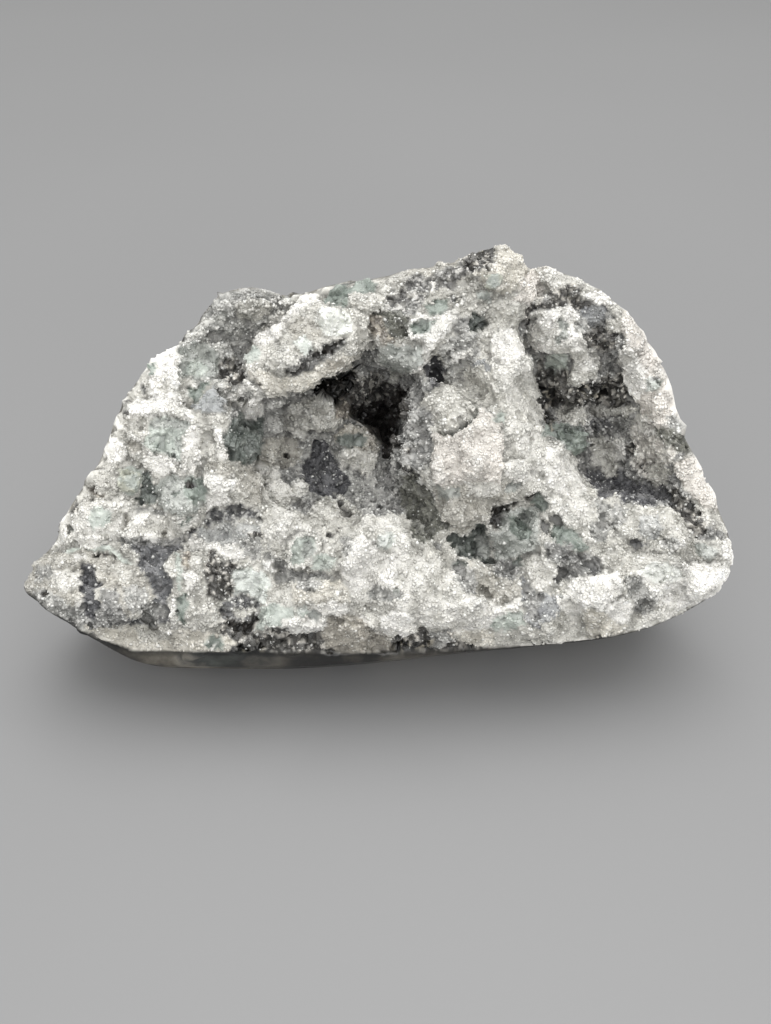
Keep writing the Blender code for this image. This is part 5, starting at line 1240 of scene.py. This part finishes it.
def fine_copy(node, name, voxel):
    """The CAD node's form as a fine even mesh, in face axes and millimetres."""
    mesh = bmesh.new()
    mesh.from_mesh(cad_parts[node].data)
    bmesh.ops.remove_doubles(mesh, verts=mesh.verts, dist=WELD)
    bmesh.ops.transform(mesh, matrix=TO_FACE, verts=mesh.verts)
    data = bpy.data.meshes.new(name)
    mesh.to_mesh(data)
    mesh.free()
    obj = bpy.data.objects.new(name, data)
    PIECES.objects.link(obj)
    remesh = obj.modifiers.new("fine", "REMESH")
    remesh.mode = "VOXEL"
    remesh.voxel_size = voxel
    bake_modifiers(obj)
    return obj


def relaxed(values, edges, rounds):
    """Values averaged with their neighbours' along the mesh."""
    count = len(values)
    ends = np.concatenate([edges[:, 0], edges[:, 1]])
    others = np.concatenate([edges[:, 1], edges[:, 0]])
    degree = np.maximum(np.bincount(ends, minlength=count), 1)[:, None]
    values = values.reshape(count, -1).copy()
    for _ in range(rounds):
        total = np.stack(
            [np.bincount(ends, weights=values[others, k], minlength=count) for k in range(values.shape[1])], 1
        )
        values += RELAX_SHARE * (total / degree - values)
    return values


def nearest(seeds, points):
    tree = kdtree.KDTree(len(seeds))
    for i, seed in enumerate(seeds):
        tree.insert(seed, i)
    tree.balance()
    return np.array([tree.find(point)[1] for point in points])


def crystal_cells(points, normals, share, draw, size, height, slope, voxel):
    """Breaks a surface into flat crystal faces: each cell tilts and rises by its own amount."""
    pool = np.flatnonzero(share > CELL_LEAST)
    count = int(len(pool) * voxel ** 2 / size ** 2)
    chosen = draw.choice(pool, count, replace=False)
    seeds = points[chosen] + draw.normal(0, CELL_SCATTER * size, (count, 3))
    cell = np.zeros(len(points), int)
    cell[pool] = nearest(seeds, points[pool])
    rise = draw.normal(0, 1, count)
    tilt = draw.normal(0, 1, (count, 3))
    away = points - seeds[cell]
    lift = height * rise[cell] + slope * (away * tilt[cell]).sum(1)
    limit = CELL_MOST * height
    lift = limit * np.tanh(lift / limit)
    return points + normals * (lift * share)[:, None], cell


def noise_of(points, scale, octaves, shift):
    """Smooth noise at each point; the shift tells one noise from another."""
    move = Vector((shift, -shift, 0.5 * shift))
    return np.array([noise.fractal(Vector(p) / scale + move, *FRACTAL, octaves) for p in points])


def evened(values):
    """Values spread evenly from 0 to 1 in their own order."""
    order = np.empty(len(values))
    order[np.argsort(values)] = np.linspace(0, 1, len(values))
    return order


def seen_places(points):
    """Where each point shows on the face's plane, seen from the camera."""
    reach = EYE[2] / (EYE[2] - points[:, 2])
    return EYE[:2] + (points[:, :2] - EYE[:2]) * reach[:, None]


def inside_by(places, outline):
    """How far inside the outline each place lies; outside it, less than nothing."""
    close = np.full(len(places), np.inf)
    inside = np.zeros(len(places), bool)
    for start, end in zip(outline, np.roll(outline, -1, 0)):
        along = end - start
        away = places - start
        share = np.clip(away @ along / (along @ along), 0, 1)
        close = np.minimum(close, np.hypot(*(away - share[:, None] * along).T))
        if along[1] != 0:
            level = (start[1] > places[:, 1]) != (end[1] > places[:, 1])
            inside ^= level & (away[:, 0] < away[:, 1] * along[0] / along[1])
    return np.where(inside, close, -close)


def each_patch(points):
    """Every patch with the points near it and how far inside its wandering edge they are."""
    places = seen_places(points)
    for scale, reach, shifts in EDGE_WANDER:
        for axis, shift in enumerate(shifts):
            places[:, axis] += reach * noise_of(points, scale, EDGE_OCTAVES, shift)
    for _name, look, lift, slope, outline in PATCHES + CRUST_PATCHES:
        outline = np.array(outline, float)
        low, high = outline.min(0) + GROOVE_START, outline.max(0) - GROOVE_START
        near = np.flatnonzero(((places > low) & (places < high)).all(1))
        yield look, lift, slope, near, inside_by(places[near], outline)


def look_values(look):
    """A look as one row: its two colours, the second one's share, its sugar and its relief."""
    first, second, share, sugar, relief_depth = LOOKS[look]
    return np.concatenate([linear(first), linear(second), (share, sugar, relief_depth)])


def plan_surface(points):
    """Each point's look, how far its patch stands out there, and the painted shade at the foot of raised
    patches.
    """
    looks = np.tile(look_values(BASE_LOOK), (len(points), 1))
    rise = np.zeros(len(points))
    shade = np.zeros(len(points))
    for look, lift, slope, near, inside in each_patch(points):
        mask = smooth_step(-EDGE_WIDTH, EDGE_WIDTH, inside)
        looks[near] += (look_values(look) - looks[near]) * mask[:, None]
        rise[near] += lift * smooth_step(LIFT_START, slope, inside)
        # painted shade: a dark band just outside the edge of each raised patch, deeper the higher the patch
        # is lifted
        foot = smooth_step(GROOVE_START, GROOVE_MIDDLE, inside)
        foot *= 1 - smooth_step(GROOVE_MIDDLE, GROOVE_END, inside)
        shade[near] = np.maximum(shade[near] * (1 - mask), foot * np.clip(GROOVE_BY_LIFT * lift, 0, 1))
    return looks, rise, shade


def tint_of(points, looks, cavity, tone):
    """Colour of each point: two mottled tones, with painted shade in its pits and paler on its edges."""
    fine = smooth_step(*FINE_RELIEF, looks[:, RELIEF])
    cloud = (1 - fine) * noise_of(points, *SOFT_CLOUD) + fine * noise_of(points, *FINE_CLOUD)
    soft = CLOUD_SOFTNESS - CLOUD_CRISPNESS * fine
    second = 1 - smooth_step(-soft, soft, evened(cloud) - looks[:, SECOND_SHARE])
    colour = looks[:, FIRST_TONE] + (looks[:, SECOND_TONE] - looks[:, FIRST_TONE]) * second[:, None]
    wide = noise_of(points, *WIDE_SHADE)
    near = noise_of(points, *NEAR_SHADE)
    colour = colour * (1 + SHADE_SHARE * wide + SHADE_SHARE * near)[:, None]
    # painted shade: darker where the surface sinks into a pit
    colour *= (1 - PIT_PAINTED_SHADE * smooth_step(*PITS, -cavity))[:, None]
    paler = smooth_step(*EDGES, cavity) * looks[:, SUGAR]
    colour += (linear(EDGE_TONE) - colour) * (EDGE_SHARE * paler)[:, None]
    return colour * (1 + FACET_SHADE * np.clip(tone, -FACET_MOST, FACET_MOST))[:, None]


def store_colour(mesh, name, colour):
    attribute = mesh.attributes.new(name, "FLOAT_COLOR", "POINT")
    four = np.ones((len(colour), 4), np.float32)
    four[:, :3] = np.clip(colour, 0, 1)
    attribute.data.foreach_set("color", four.ravel())


def store_value(mesh, name, value):
    attribute = mesh.attributes.new(name, "FLOAT", "POINT")
    attribute.data.foreach_set("value", value.astype(np.float32))


def above_foot(points):
    """How far up the slope each point shows from the line where the polish begins."""
    places = seen_places(points)
    line_s, line_t = np.array(FOOT_LINE).T
    past = places[:, 0] > line_s[-1]
    return np.where(past, 1.0, places[:, 1] - np.interp(places[:, 0], line_s, line_t))


def rough_share(points, normals):
    """How rough each point is: 1 on the crystals, 0 on the polished hull."""
    _middle, hull, own = hull_section(points)
    inside = smooth_step(*INSIDE_HULL, hull - own)
    facing = smooth_step(*FACING_OUT, normals[:, 2]) * smooth_step(*NOT_DEEP, points[:, 2])
    return np.maximum(inside, facing) * smooth_step(*OVER_FOOT, above_foot(points))


def facing_hollow(points, normals):
    """How much each point of the crust faces the middle of the hollow."""
    toward = (normals * (np.array(HOLLOW_MIDDLE) - points)).sum(1)
    return smooth_step(*FACING_HOLLOW, toward)


def bevel_foot(points):
    """Lets the polished strip below the foot line fall away from the face."""
    below = np.clip(-above_foot(points), 0, FOOT_REACH)
    top = smooth_step(*FOOT_TOP, points[:, 2])
    points[:, 2] -= FOOT_SLOPE * below * top


def round_hull(points, rough):
    """Brings the polished side onto its smooth form."""
    middle, hull, own = hull_section(points)
    to_hull = (1 - smooth_step(*NEAR_HULL, hull - own)) * (1 - rough)
    to_hull[points[:, 2] > ON_FACE] = 0
    scale = 1 + to_hull * (hull / np.maximum(own, TINY) - 1)
    points[:, 0] *= scale
    points[:, 1] = middle + (points[:, 1] - middle) * scale


def near_node(points, node):
    """Which points another node lies close against, out of sight."""
    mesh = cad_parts[node].data
    corners = [TO_FACE @ vertex.co for vertex in mesh.vertices]
    tree = bvhtree.BVHTree.FromPolygons(corners, [tuple(face.vertices) for face in mesh.polygons])
    return np.array([tree.find_nearest(Vector(point), HIDDEN_REACH)[0] is not None for point in points])


def thin_smooth(obj, smooth, kept):
    """Keeps only a share of the faces where the form is smooth or out of sight."""
    group = obj.vertex_groups.new(name="smooth")
    group.add(np.flatnonzero(smooth).tolist(), THIN_WEIGHT, "REPLACE")
    inside = sum(all(smooth[corner] for corner in face.vertices) for face in obj.data.polygons)
    thin = obj.modifiers.new("thin", "DECIMATE")
    thin.ratio = 1 - (1 - kept) * inside / len(obj.data.polygons)
    thin.vertex_group = "smooth"
    thin.vertex_group_factor = THIN_EVENLY
    bake_modifiers(obj)
    obj.vertex_groups.clear()


def settle(points):
    """Keeps the flat that the rock rests on."""
    height = height_of(points)
    low = height < REST_REACH * MM
    points[low] -= np.outer(height[low], WORLD_UP[:3]) / MM ** 2


def calm(obj, share):
    """Softens the solid's facets, so that the crystals' own faces show."""
    points, _ = from_mesh(obj.data)
    soft = relaxed(points, edges_of(obj.data), CALM_ROUNDS)
    set_points(obj.data, points + (soft - points) * (CALM_SHARE * share)[:, None])


def relief(obj, points, share, looks, rise, draw, voxel):
    """Patches raised or sunk, then broken into crystal faces down to the size of the sugar."""
    _, normals = from_mesh(obj.data)
    points = points + normals * (rise * share)[:, None]
    tone = np.zeros(len(points))
    for size, height, slope, glassy in CELLS:
        set_points(obj.data, points)
        _, normals = from_mesh(obj.data)
        depth = looks[:, RELIEF] + glassy * smooth_step(*GLASSY, 1 - looks[:, SUGAR])
        points, cell = crystal_cells(points, normals, share * depth, draw, size, height, slope, voxel)
        tone += depth * draw.normal(0, 1, cell.max() + 1)[cell]
    return points - normals * (SUGAR_DEPTH * share * looks[:, SUGAR])[:, None], tone


def painted_strip_shade(points):
    """Painted shade on the polished stone: dark in the strip under the rough face, darkest at its top."""
    lit = smooth_step(*LIT_LEFT, points[:, 0]) * (1 - smooth_step(*LIT_RIGHT, points[:, 0]))
    strip = smooth_step(*STRIP_IN, points[:, 2]) * (1 - smooth_step(*STRIP_UP, points[:, 1]))
    line = smooth_step(*LINE_UP, above_foot(points)) * smooth_step(*LINE_IN, points[:, 2])
    return (1 - strip * (STRIP_SHADE - STRIP_LIT * lit)) * (1 - LINE_SHADE * line)


def dress(obj, looks, shade, tone, rough, seen):
    """Stores the surface's colour, and gives back where its sugar grows."""
    points, normals = from_mesh(obj.data)
    smooth = relaxed(points, edges_of(obj.data), CAVITY_ROUNDS)
    cavity = ((points - smooth) * normals).sum(1) * rough
    # the painted shade at the foot of raised patches darkens the colour here
    colour = tint_of(points, looks, cavity, tone) * (1 - GROOVE_PAINTED_SHADE * shade)[:, None]
    store_colour(obj.data, "tint", colour)
    store_value(obj.data, "rough", rough)
    store_value(obj.data, "gloss", 1 - looks[:, SUGAR])
    sugar = looks[:, SUGAR] * rough * seen * (1 + smooth_step(*SUGAR_EDGES, cavity))
    sugar[height_of(points) / MM < FLOOR_CLEARANCE] = 0
    _middle, hull, own = hull_section(points)
    sugar *= smooth_step(*RIM_CLEAR, hull - own) * smooth_step(*FOOT_CLEAR, above_foot(points))
    return obj, points, normals, colour, sugar, looks[:, RELIEF]


def rock_surface(draw):
    """The rock with crystal faces on its rough side and the smooth polished hull behind."""
    obj = fine_copy("fluorite_rock", "rock_surface", ROCK_VOXEL)
    points, normals = from_mesh(obj.data)
    rough = rough_share(points, normals)
    round_hull(points, rough)
    bevel_foot(points)
    set_points(obj.data, points)
    calm(obj, rough)
    points, _ = from_mesh(obj.data)
    behind = (rough < SMOOTH_MOST) & ((points[:, 2] < STRIP_DEPTH) | (points[:, 1] > STRIP_TOP))
    thin_smooth(obj, behind | near_node(points, "hollow_crust"), ROCK_KEPT)
    points, normals = from_mesh(obj.data)
    rough = rough_share(points, normals)
    seen = ~near_node(points, "hollow_crust")
    looks, rise, shade = plan_surface(points)
    # the polish value holds painted shade: the strip under the rough face darker, and rock hidden behind the
    # crust nearly black
    polish = painted_strip_shade(points) * np.where(seen, 1.0, UNSEEN_PAINTED_SHADE)
    points, tone = relief(obj, points, rough * seen, looks, rise, draw, ROCK_VOXEL)
    settle(points)
    set_points(obj.data, points)
    store_value(obj.data, "polish", polish)
    return dress(obj, looks, shade, tone, rough, seen)


def crust_surface(draw):
    """The crust of small crystals in the hollow."""
    obj = fine_copy("hollow_crust", "hollow_crust_surface", CRUST_VOXEL)
    calm(obj, facing_hollow(*from_mesh(obj.data)))
    thin_smooth(obj, facing_hollow(*from_mesh(obj.data)) < SMOOTH_MOST, CRUST_KEPT)
    points, normals = from_mesh(obj.data)
    inner = facing_hollow(points, normals)
    looks, rise, shade = plan_surface(points)
    points, tone = relief(obj, points, inner, looks, rise, draw, CRUST_VOXEL)
    set_points(obj.data, points)
    return dress(obj, looks, shade, tone, inner, inner > 0)


def unit(vectors):
    return vectors / np.maximum(np.linalg.norm(vectors, axis=1), TINY)[:, None]


def random_turns(draw, axes):
    """For each axis, two unit vectors across it, turned at random."""
    helper = draw.normal(0, 1, axes.shape)
    across = unit(np.cross(axes, helper))
    return across, np.cross(axes, across)


def grain_mesh(name, draw, places, normals, colour, width, stand):
    """Small pointed crystals as one mesh: a tip, a foot and corners round the waist."""
    count = len(places)
    lean = np.interp(stand, (0, 1), GRAIN_LEAN)[:, None]
    axes = unit(normals + lean * draw.normal(0, 1, (count, 3)))
    side, other = random_turns(draw, axes)
    length = width * np.interp(stand, (0, 1), GRAIN_STAND) * draw.uniform(*GRAIN_LENGTHS, count)
    corners = []
    for k in range(GRAIN_SIDES):
        angle = math.tau / GRAIN_SIDES * k + draw.uniform(-GRAIN_TURN, GRAIN_TURN, count)
        radius = (0.5 * width * draw.uniform(*GRAIN_RADII, count))[:, None]
        rise = (length * draw.uniform(*GRAIN_WAIST, count))[:, None]
        across = np.cos(angle)[:, None] * side + np.sin(angle)[:, None] * other
        corners.append(places + radius * across + rise * axes)
    tip = places + length[:, None] * axes
    foot = places - GRAIN_FOOT * length[:, None] * axes
    verts = np.stack([tip, foot, *corners], 1).reshape(-1, 3)
    faces = []
    for k in range(GRAIN_SIDES):
        a, b = 2 + k, 2 + (k + 1) % GRAIN_SIDES
        faces += [(0, a, b), (1, b, a)]
    corners_each = 2 + GRAIN_SIDES
    faces = (np.arange(count)[:, None, None] * corners_each + np.array(faces)[None]).reshape(-1, 3)
    mesh = bpy.data.meshes.new(name)
    mesh.vertices.add(len(verts))
    mesh.vertices.foreach_set("co", verts.astype(np.float32).ravel())
    mesh.loops.add(faces.size)
    mesh.loops.foreach_set("vertex_index", faces.astype(np.int32).ravel())
    mesh.polygons.add(len(faces))
    mesh.polygons.foreach_set("loop_start", np.arange(len(faces), dtype=np.int32) * 3)
    mesh.update(calc_edges=True)
    store_colour(mesh, "tint", np.repeat(colour, corners_each, axis=0))
    obj = bpy.data.objects.new(name, mesh)
    PIECES.objects.link(obj)
    return obj


def grain_tints(draw, tint, stand):
    """Each grain brighter or darker than its place, and some painted pale as glints."""
    bright = draw.uniform(0, 1, len(tint))[:, None]
    contrast, contrast_fine = GRAIN_CONTRAST
    tint = tint * (1 + (contrast + contrast_fine * stand[:, None]) * (bright - GRAIN_MIDDLE))
    glints, glints_fine = GLINTS
    # painted highlight: a share of the grains tinted towards a near white glint
    glint = (draw.uniform(0, 1, len(tint)) < glints + glints_fine * stand)[:, None]
    return np.where(glint, tint + (linear(GLINT_TONE) - tint) * GLINT_STRENGTH, tint)


def sugar_grains(name, draw, points, normals, colour, sugar, stand, count):
    """Sugar over a surface, in pieces small enough to stay whole."""
    chosen = draw.choice(len(points), count, replace=True, p=sugar / sugar.sum())
    normals, stand = normals[chosen], stand[chosen]
    side, other = random_turns(draw, unit(normals))
    shift = draw.uniform(-GRAIN_SHIFT, GRAIN_SHIFT, (count, 2))
    least, most = GRAIN_WIDTH
    width = least + (most - least) * draw.uniform(0, 1, count) ** LARGE_GRAINS
    places = points[chosen] + side * shift[:, :1] + other * shift[:, 1:]
    places -= normals * (GRAIN_SUNK * width)[:, None]
    tint = grain_tints(draw, colour[chosen], stand)
    made = []
    for i, start in enumerate(range(0, count, MOST_GRAINS)):
        part = slice(start, start + MOST_GRAINS)
        made.append(grain_mesh(
            f"{name}_{i + 1}", draw, places[part], normals[part], tint[part], width[part], stand[part]
        ))
    return made


def shader_of(material):
    material.use_nodes = True
    return material.node_tree.nodes["Principled BSDF"]


def add_node(material, kind, **settings):
    node = material.node_tree.nodes.new(kind)
    for key, value in settings.items():
        setattr(node, key, value)
    return node


def link(material, out, into):
    material.node_tree.links.new(out, into)


def stored(material, name, output="Fac"):
    """A value or a colour that the mesh carries at its points."""
    return add_node(material, "ShaderNodeAttribute", attribute_name=name).outputs[output]


def clouds(material, scale, detail, roughness):
    node = add_node(material, "ShaderNodeTexNoise")
    node.inputs["Scale"].default_value = scale
    node.inputs["Detail"].default_value = detail
    node.inputs["Roughness"].default_value = roughness
    coords = add_node(material, "ShaderNodeTexCoord")
    link(material, coords.outputs["Object"], node.inputs["Vector"])
    return node.outputs["Fac"]


def toned(material, value, stops):
    """A value as a colour, by stops of place and tone; a single number is a grey."""
    node = add_node(material, "ShaderNodeValToRGB")
    ramp = node.color_ramp
    while len(ramp.elements) < len(stops):
        ramp.elements.new(0.5)
    for element, (place, tone) in zip(ramp.elements, stops):
        element.position = place
        element.color = (*(tone if isinstance(tone, tuple) else (tone,) * 3), 1.0)
    link(material, value, node.inputs["Fac"])
    return node.outputs["Color"]


def mixed(material, kind, share, first, second):
    node = add_node(material, "ShaderNodeMix", data_type="RGBA", blend_type=kind)
    for socket, value in (("Factor", share), ("A", first), ("B", second)):
        into = next(i for i in node.inputs if i.name == socket and i.enabled)
        if isinstance(value, bpy.types.NodeSocket):
            link(material, value, into)
        else:
            into.default_value = value
    return next(o for o in node.outputs if o.enabled)


def ranged(material, value, low, high):
    node = add_node(material, "ShaderNodeMapRange")
    link(material, value, node.inputs["Value"])
    node.inputs["To Min"].default_value = low
    node.inputs["To Max"].default_value = high
    return node.outputs["Result"]


def product(material, first, second):
    node = add_node(material, "ShaderNodeMath", operation="MULTIPLY")
    link(material, first, node.inputs[0])
    link(material, second, node.inputs[1])
    return node.outputs[0]


def bumped(material, height, strength, distance):
    node = add_node(material, "ShaderNodeBump")
    node.inputs["Strength"].default_value = strength
    node.inputs["Distance"].default_value = distance
    link(material, height, node.inputs["Height"])
    return node.outputs["Normal"]


def glow_within(shader):
    """Light goes a little way into the crystals, which softens the gaps between them."""
    shader.inputs["Subsurface Weight"].default_value = GLOW_SHARE
    shader.inputs["Subsurface Radius"].default_value = GLOW_TONE
    shader.inputs["Subsurface Scale"].default_value = GLOW_DEPTH


def stone_material(name, polished):
    """Rough side: the crystals' tint under fine speckle. Polished side: mottled stone under its painted
    shade, with a clear polish.
    """
    material = bpy.data.materials.new(name)
    shader = shader_of(material)
    rough = stored(material, "rough")
    speckle = clouds(material, *SPECKLE)
    grains = toned(material, speckle, SPECKLE_TONES)
    base = mixed(material, "MULTIPLY", SPECKLE_SHARE, stored(material, "tint", "Color"), grains)
    if polished:
        hull = toned(material, clouds(material, *HULL_CLOUDS), HULL_TONES)
        # the polish value is painted shade that darkens the polished stone's clouds
        hull = mixed(material, "MULTIPLY", 1.0, hull, stored(material, "polish"))
        base = mixed(material, "MIX", rough, hull, base)
    link(material, base, shader.inputs["Base Color"])
    roughness = ranged(material, stored(material, "gloss"), SUGARY_ROUGHNESS, GLASSY_ROUGHNESS)
    link(material, roughness, shader.inputs["Roughness"])
    height = product(material, speckle, rough)
    link(material, bumped(material, height, *SPECKLE_BUMP), shader.inputs["Normal"])
    glow_within(shader)
    return material


def grain_material():
    """Sugar grains: pale quartz with a slight cloud in it."""
    material = bpy.data.materials.new("sugar_quartz")
    shader = shader_of(material)
    shade = toned(material, clouds(material, *GRAIN_CLOUDS), GRAIN_TONES)
    tint = mixed(material, "MULTIPLY", 1.0, stored(material, "tint", "Color"), shade)
    link(material, tint, shader.inputs["Base Color"])
    shader.inputs["Roughness"].default_value = GRAIN_ROUGHNESS
    shader.inputs["IOR"].default_value = QUARTZ_IOR
    return material


def floor_material():
    material = bpy.data.materials.new("pale_floor")
    shader = shader_of(material)
    shade = toned(material, clouds(material, *FLOOR_CLOUDS), FLOOR_TONES)
    link(material, shade, shader.inputs["Base Color"])
    shader.inputs["Roughness"].default_value = FLOOR_ROUGHNESS
    return material


def finish_piece(obj, material, slot, *nodes):
    obj.data.transform(TO_WORLD)
    obj.data.update()
    obj.data.materials.clear()
    obj.data.materials.append(material)
    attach(obj, "root")
    if nodes:
        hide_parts(*nodes)


def shade_polished(mesh):
    """Smooth shading where a face is more polished than rough; the crystals stay sharp."""
    rough = read(mesh.attributes["rough"].data, "value")
    first = read(mesh.polygons, "loop_start", kind=np.int32)
    corner = read(mesh.loops, "vertex_index", kind=np.int32)
    mesh.polygons.foreach_set("use_smooth", rough[corner[first]] < 0.5)


def build_object():
    draw = np.random.default_rng(SEED)
    rock, *rock_places = rock_surface(draw)
    sugar = sugar_grains("sugar", draw, *rock_places, ROCK_GRAINS)
    crust, *crust_places = crust_surface(draw)
    inner = sugar_grains("hollow_sugar", draw, *crust_places, HOLLOW_GRAINS)
    finish_piece(rock, stone_material("sugar_fluorite_stone", True), "fluorite_stone", "fluorite_rock")
    shade_polished(rock.data)
    finish_piece(crust, stone_material("hollow_druse", False), "hollow_druse", "hollow_crust")
    quartz = grain_material()
    for pieces, slot in ((sugar, "fluorite_stone"), (inner, "hollow_druse")):
        for piece in pieces:
            finish_piece(piece, quartz, slot)


def build_floor():
    mesh = bmesh.new()
    bmesh.ops.create_grid(mesh, x_segments=1, y_segments=1, size=FLOOR_REACH)
    data = bpy.data.meshes.new("floor")
    mesh.to_mesh(data)
    mesh.free()
    floor = bpy.data.objects.new("floor", data)
    bpy.context.scene.collection.objects.link(floor)
    data.materials.append(floor_material())


def area_light(name, place, size, watts):
    data = bpy.data.lights.new(name, "AREA")
    data.shape = "RECTANGLE"
    data.size, data.size_y = size
    data.energy = watts
    obj = bpy.data.objects.new(name, data)
    bpy.context.scene.collection.objects.link(obj)
    obj.location = place
    obj.rotation_euler = (FACE_MIDDLE - Vector(place)).to_track_quat("-Z", "Y").to_euler()


def build_lights():
    """A large soft light above and behind, as in the photograph, and a weak one in front."""
    area_light("main_light", *MAIN_LIGHT)
    area_light("front_light", *FRONT_LIGHT)
    world = bpy.data.worlds.new("studio")
    bpy.context.scene.world = world
    world.use_nodes = True
    background = world.node_tree.nodes["Background"]
    background.inputs["Color"].default_value = (*STUDIO_TONE, 1.0)
    background.inputs["Strength"].default_value = STUDIO_STRENGTH
    bpy.context.scene.view_settings.view_transform = "Standard"


def build_camera():
    data = bpy.data.cameras.new("camera")
    data.lens = CAMERA_LENS
    data.clip_start = CAMERA_NEAR
    camera = bpy.data.objects.new("camera", data)
    bpy.context.scene.collection.objects.link(camera)
    camera.location = FACE_MIDDLE + CAMERA_FROM_FACE
    camera.rotation_euler = (math.pi / 2 - CAMERA_PITCH, 0, 0)
    bpy.context.scene.camera = camera


build_object()
build_floor()
build_lights()
build_camera()
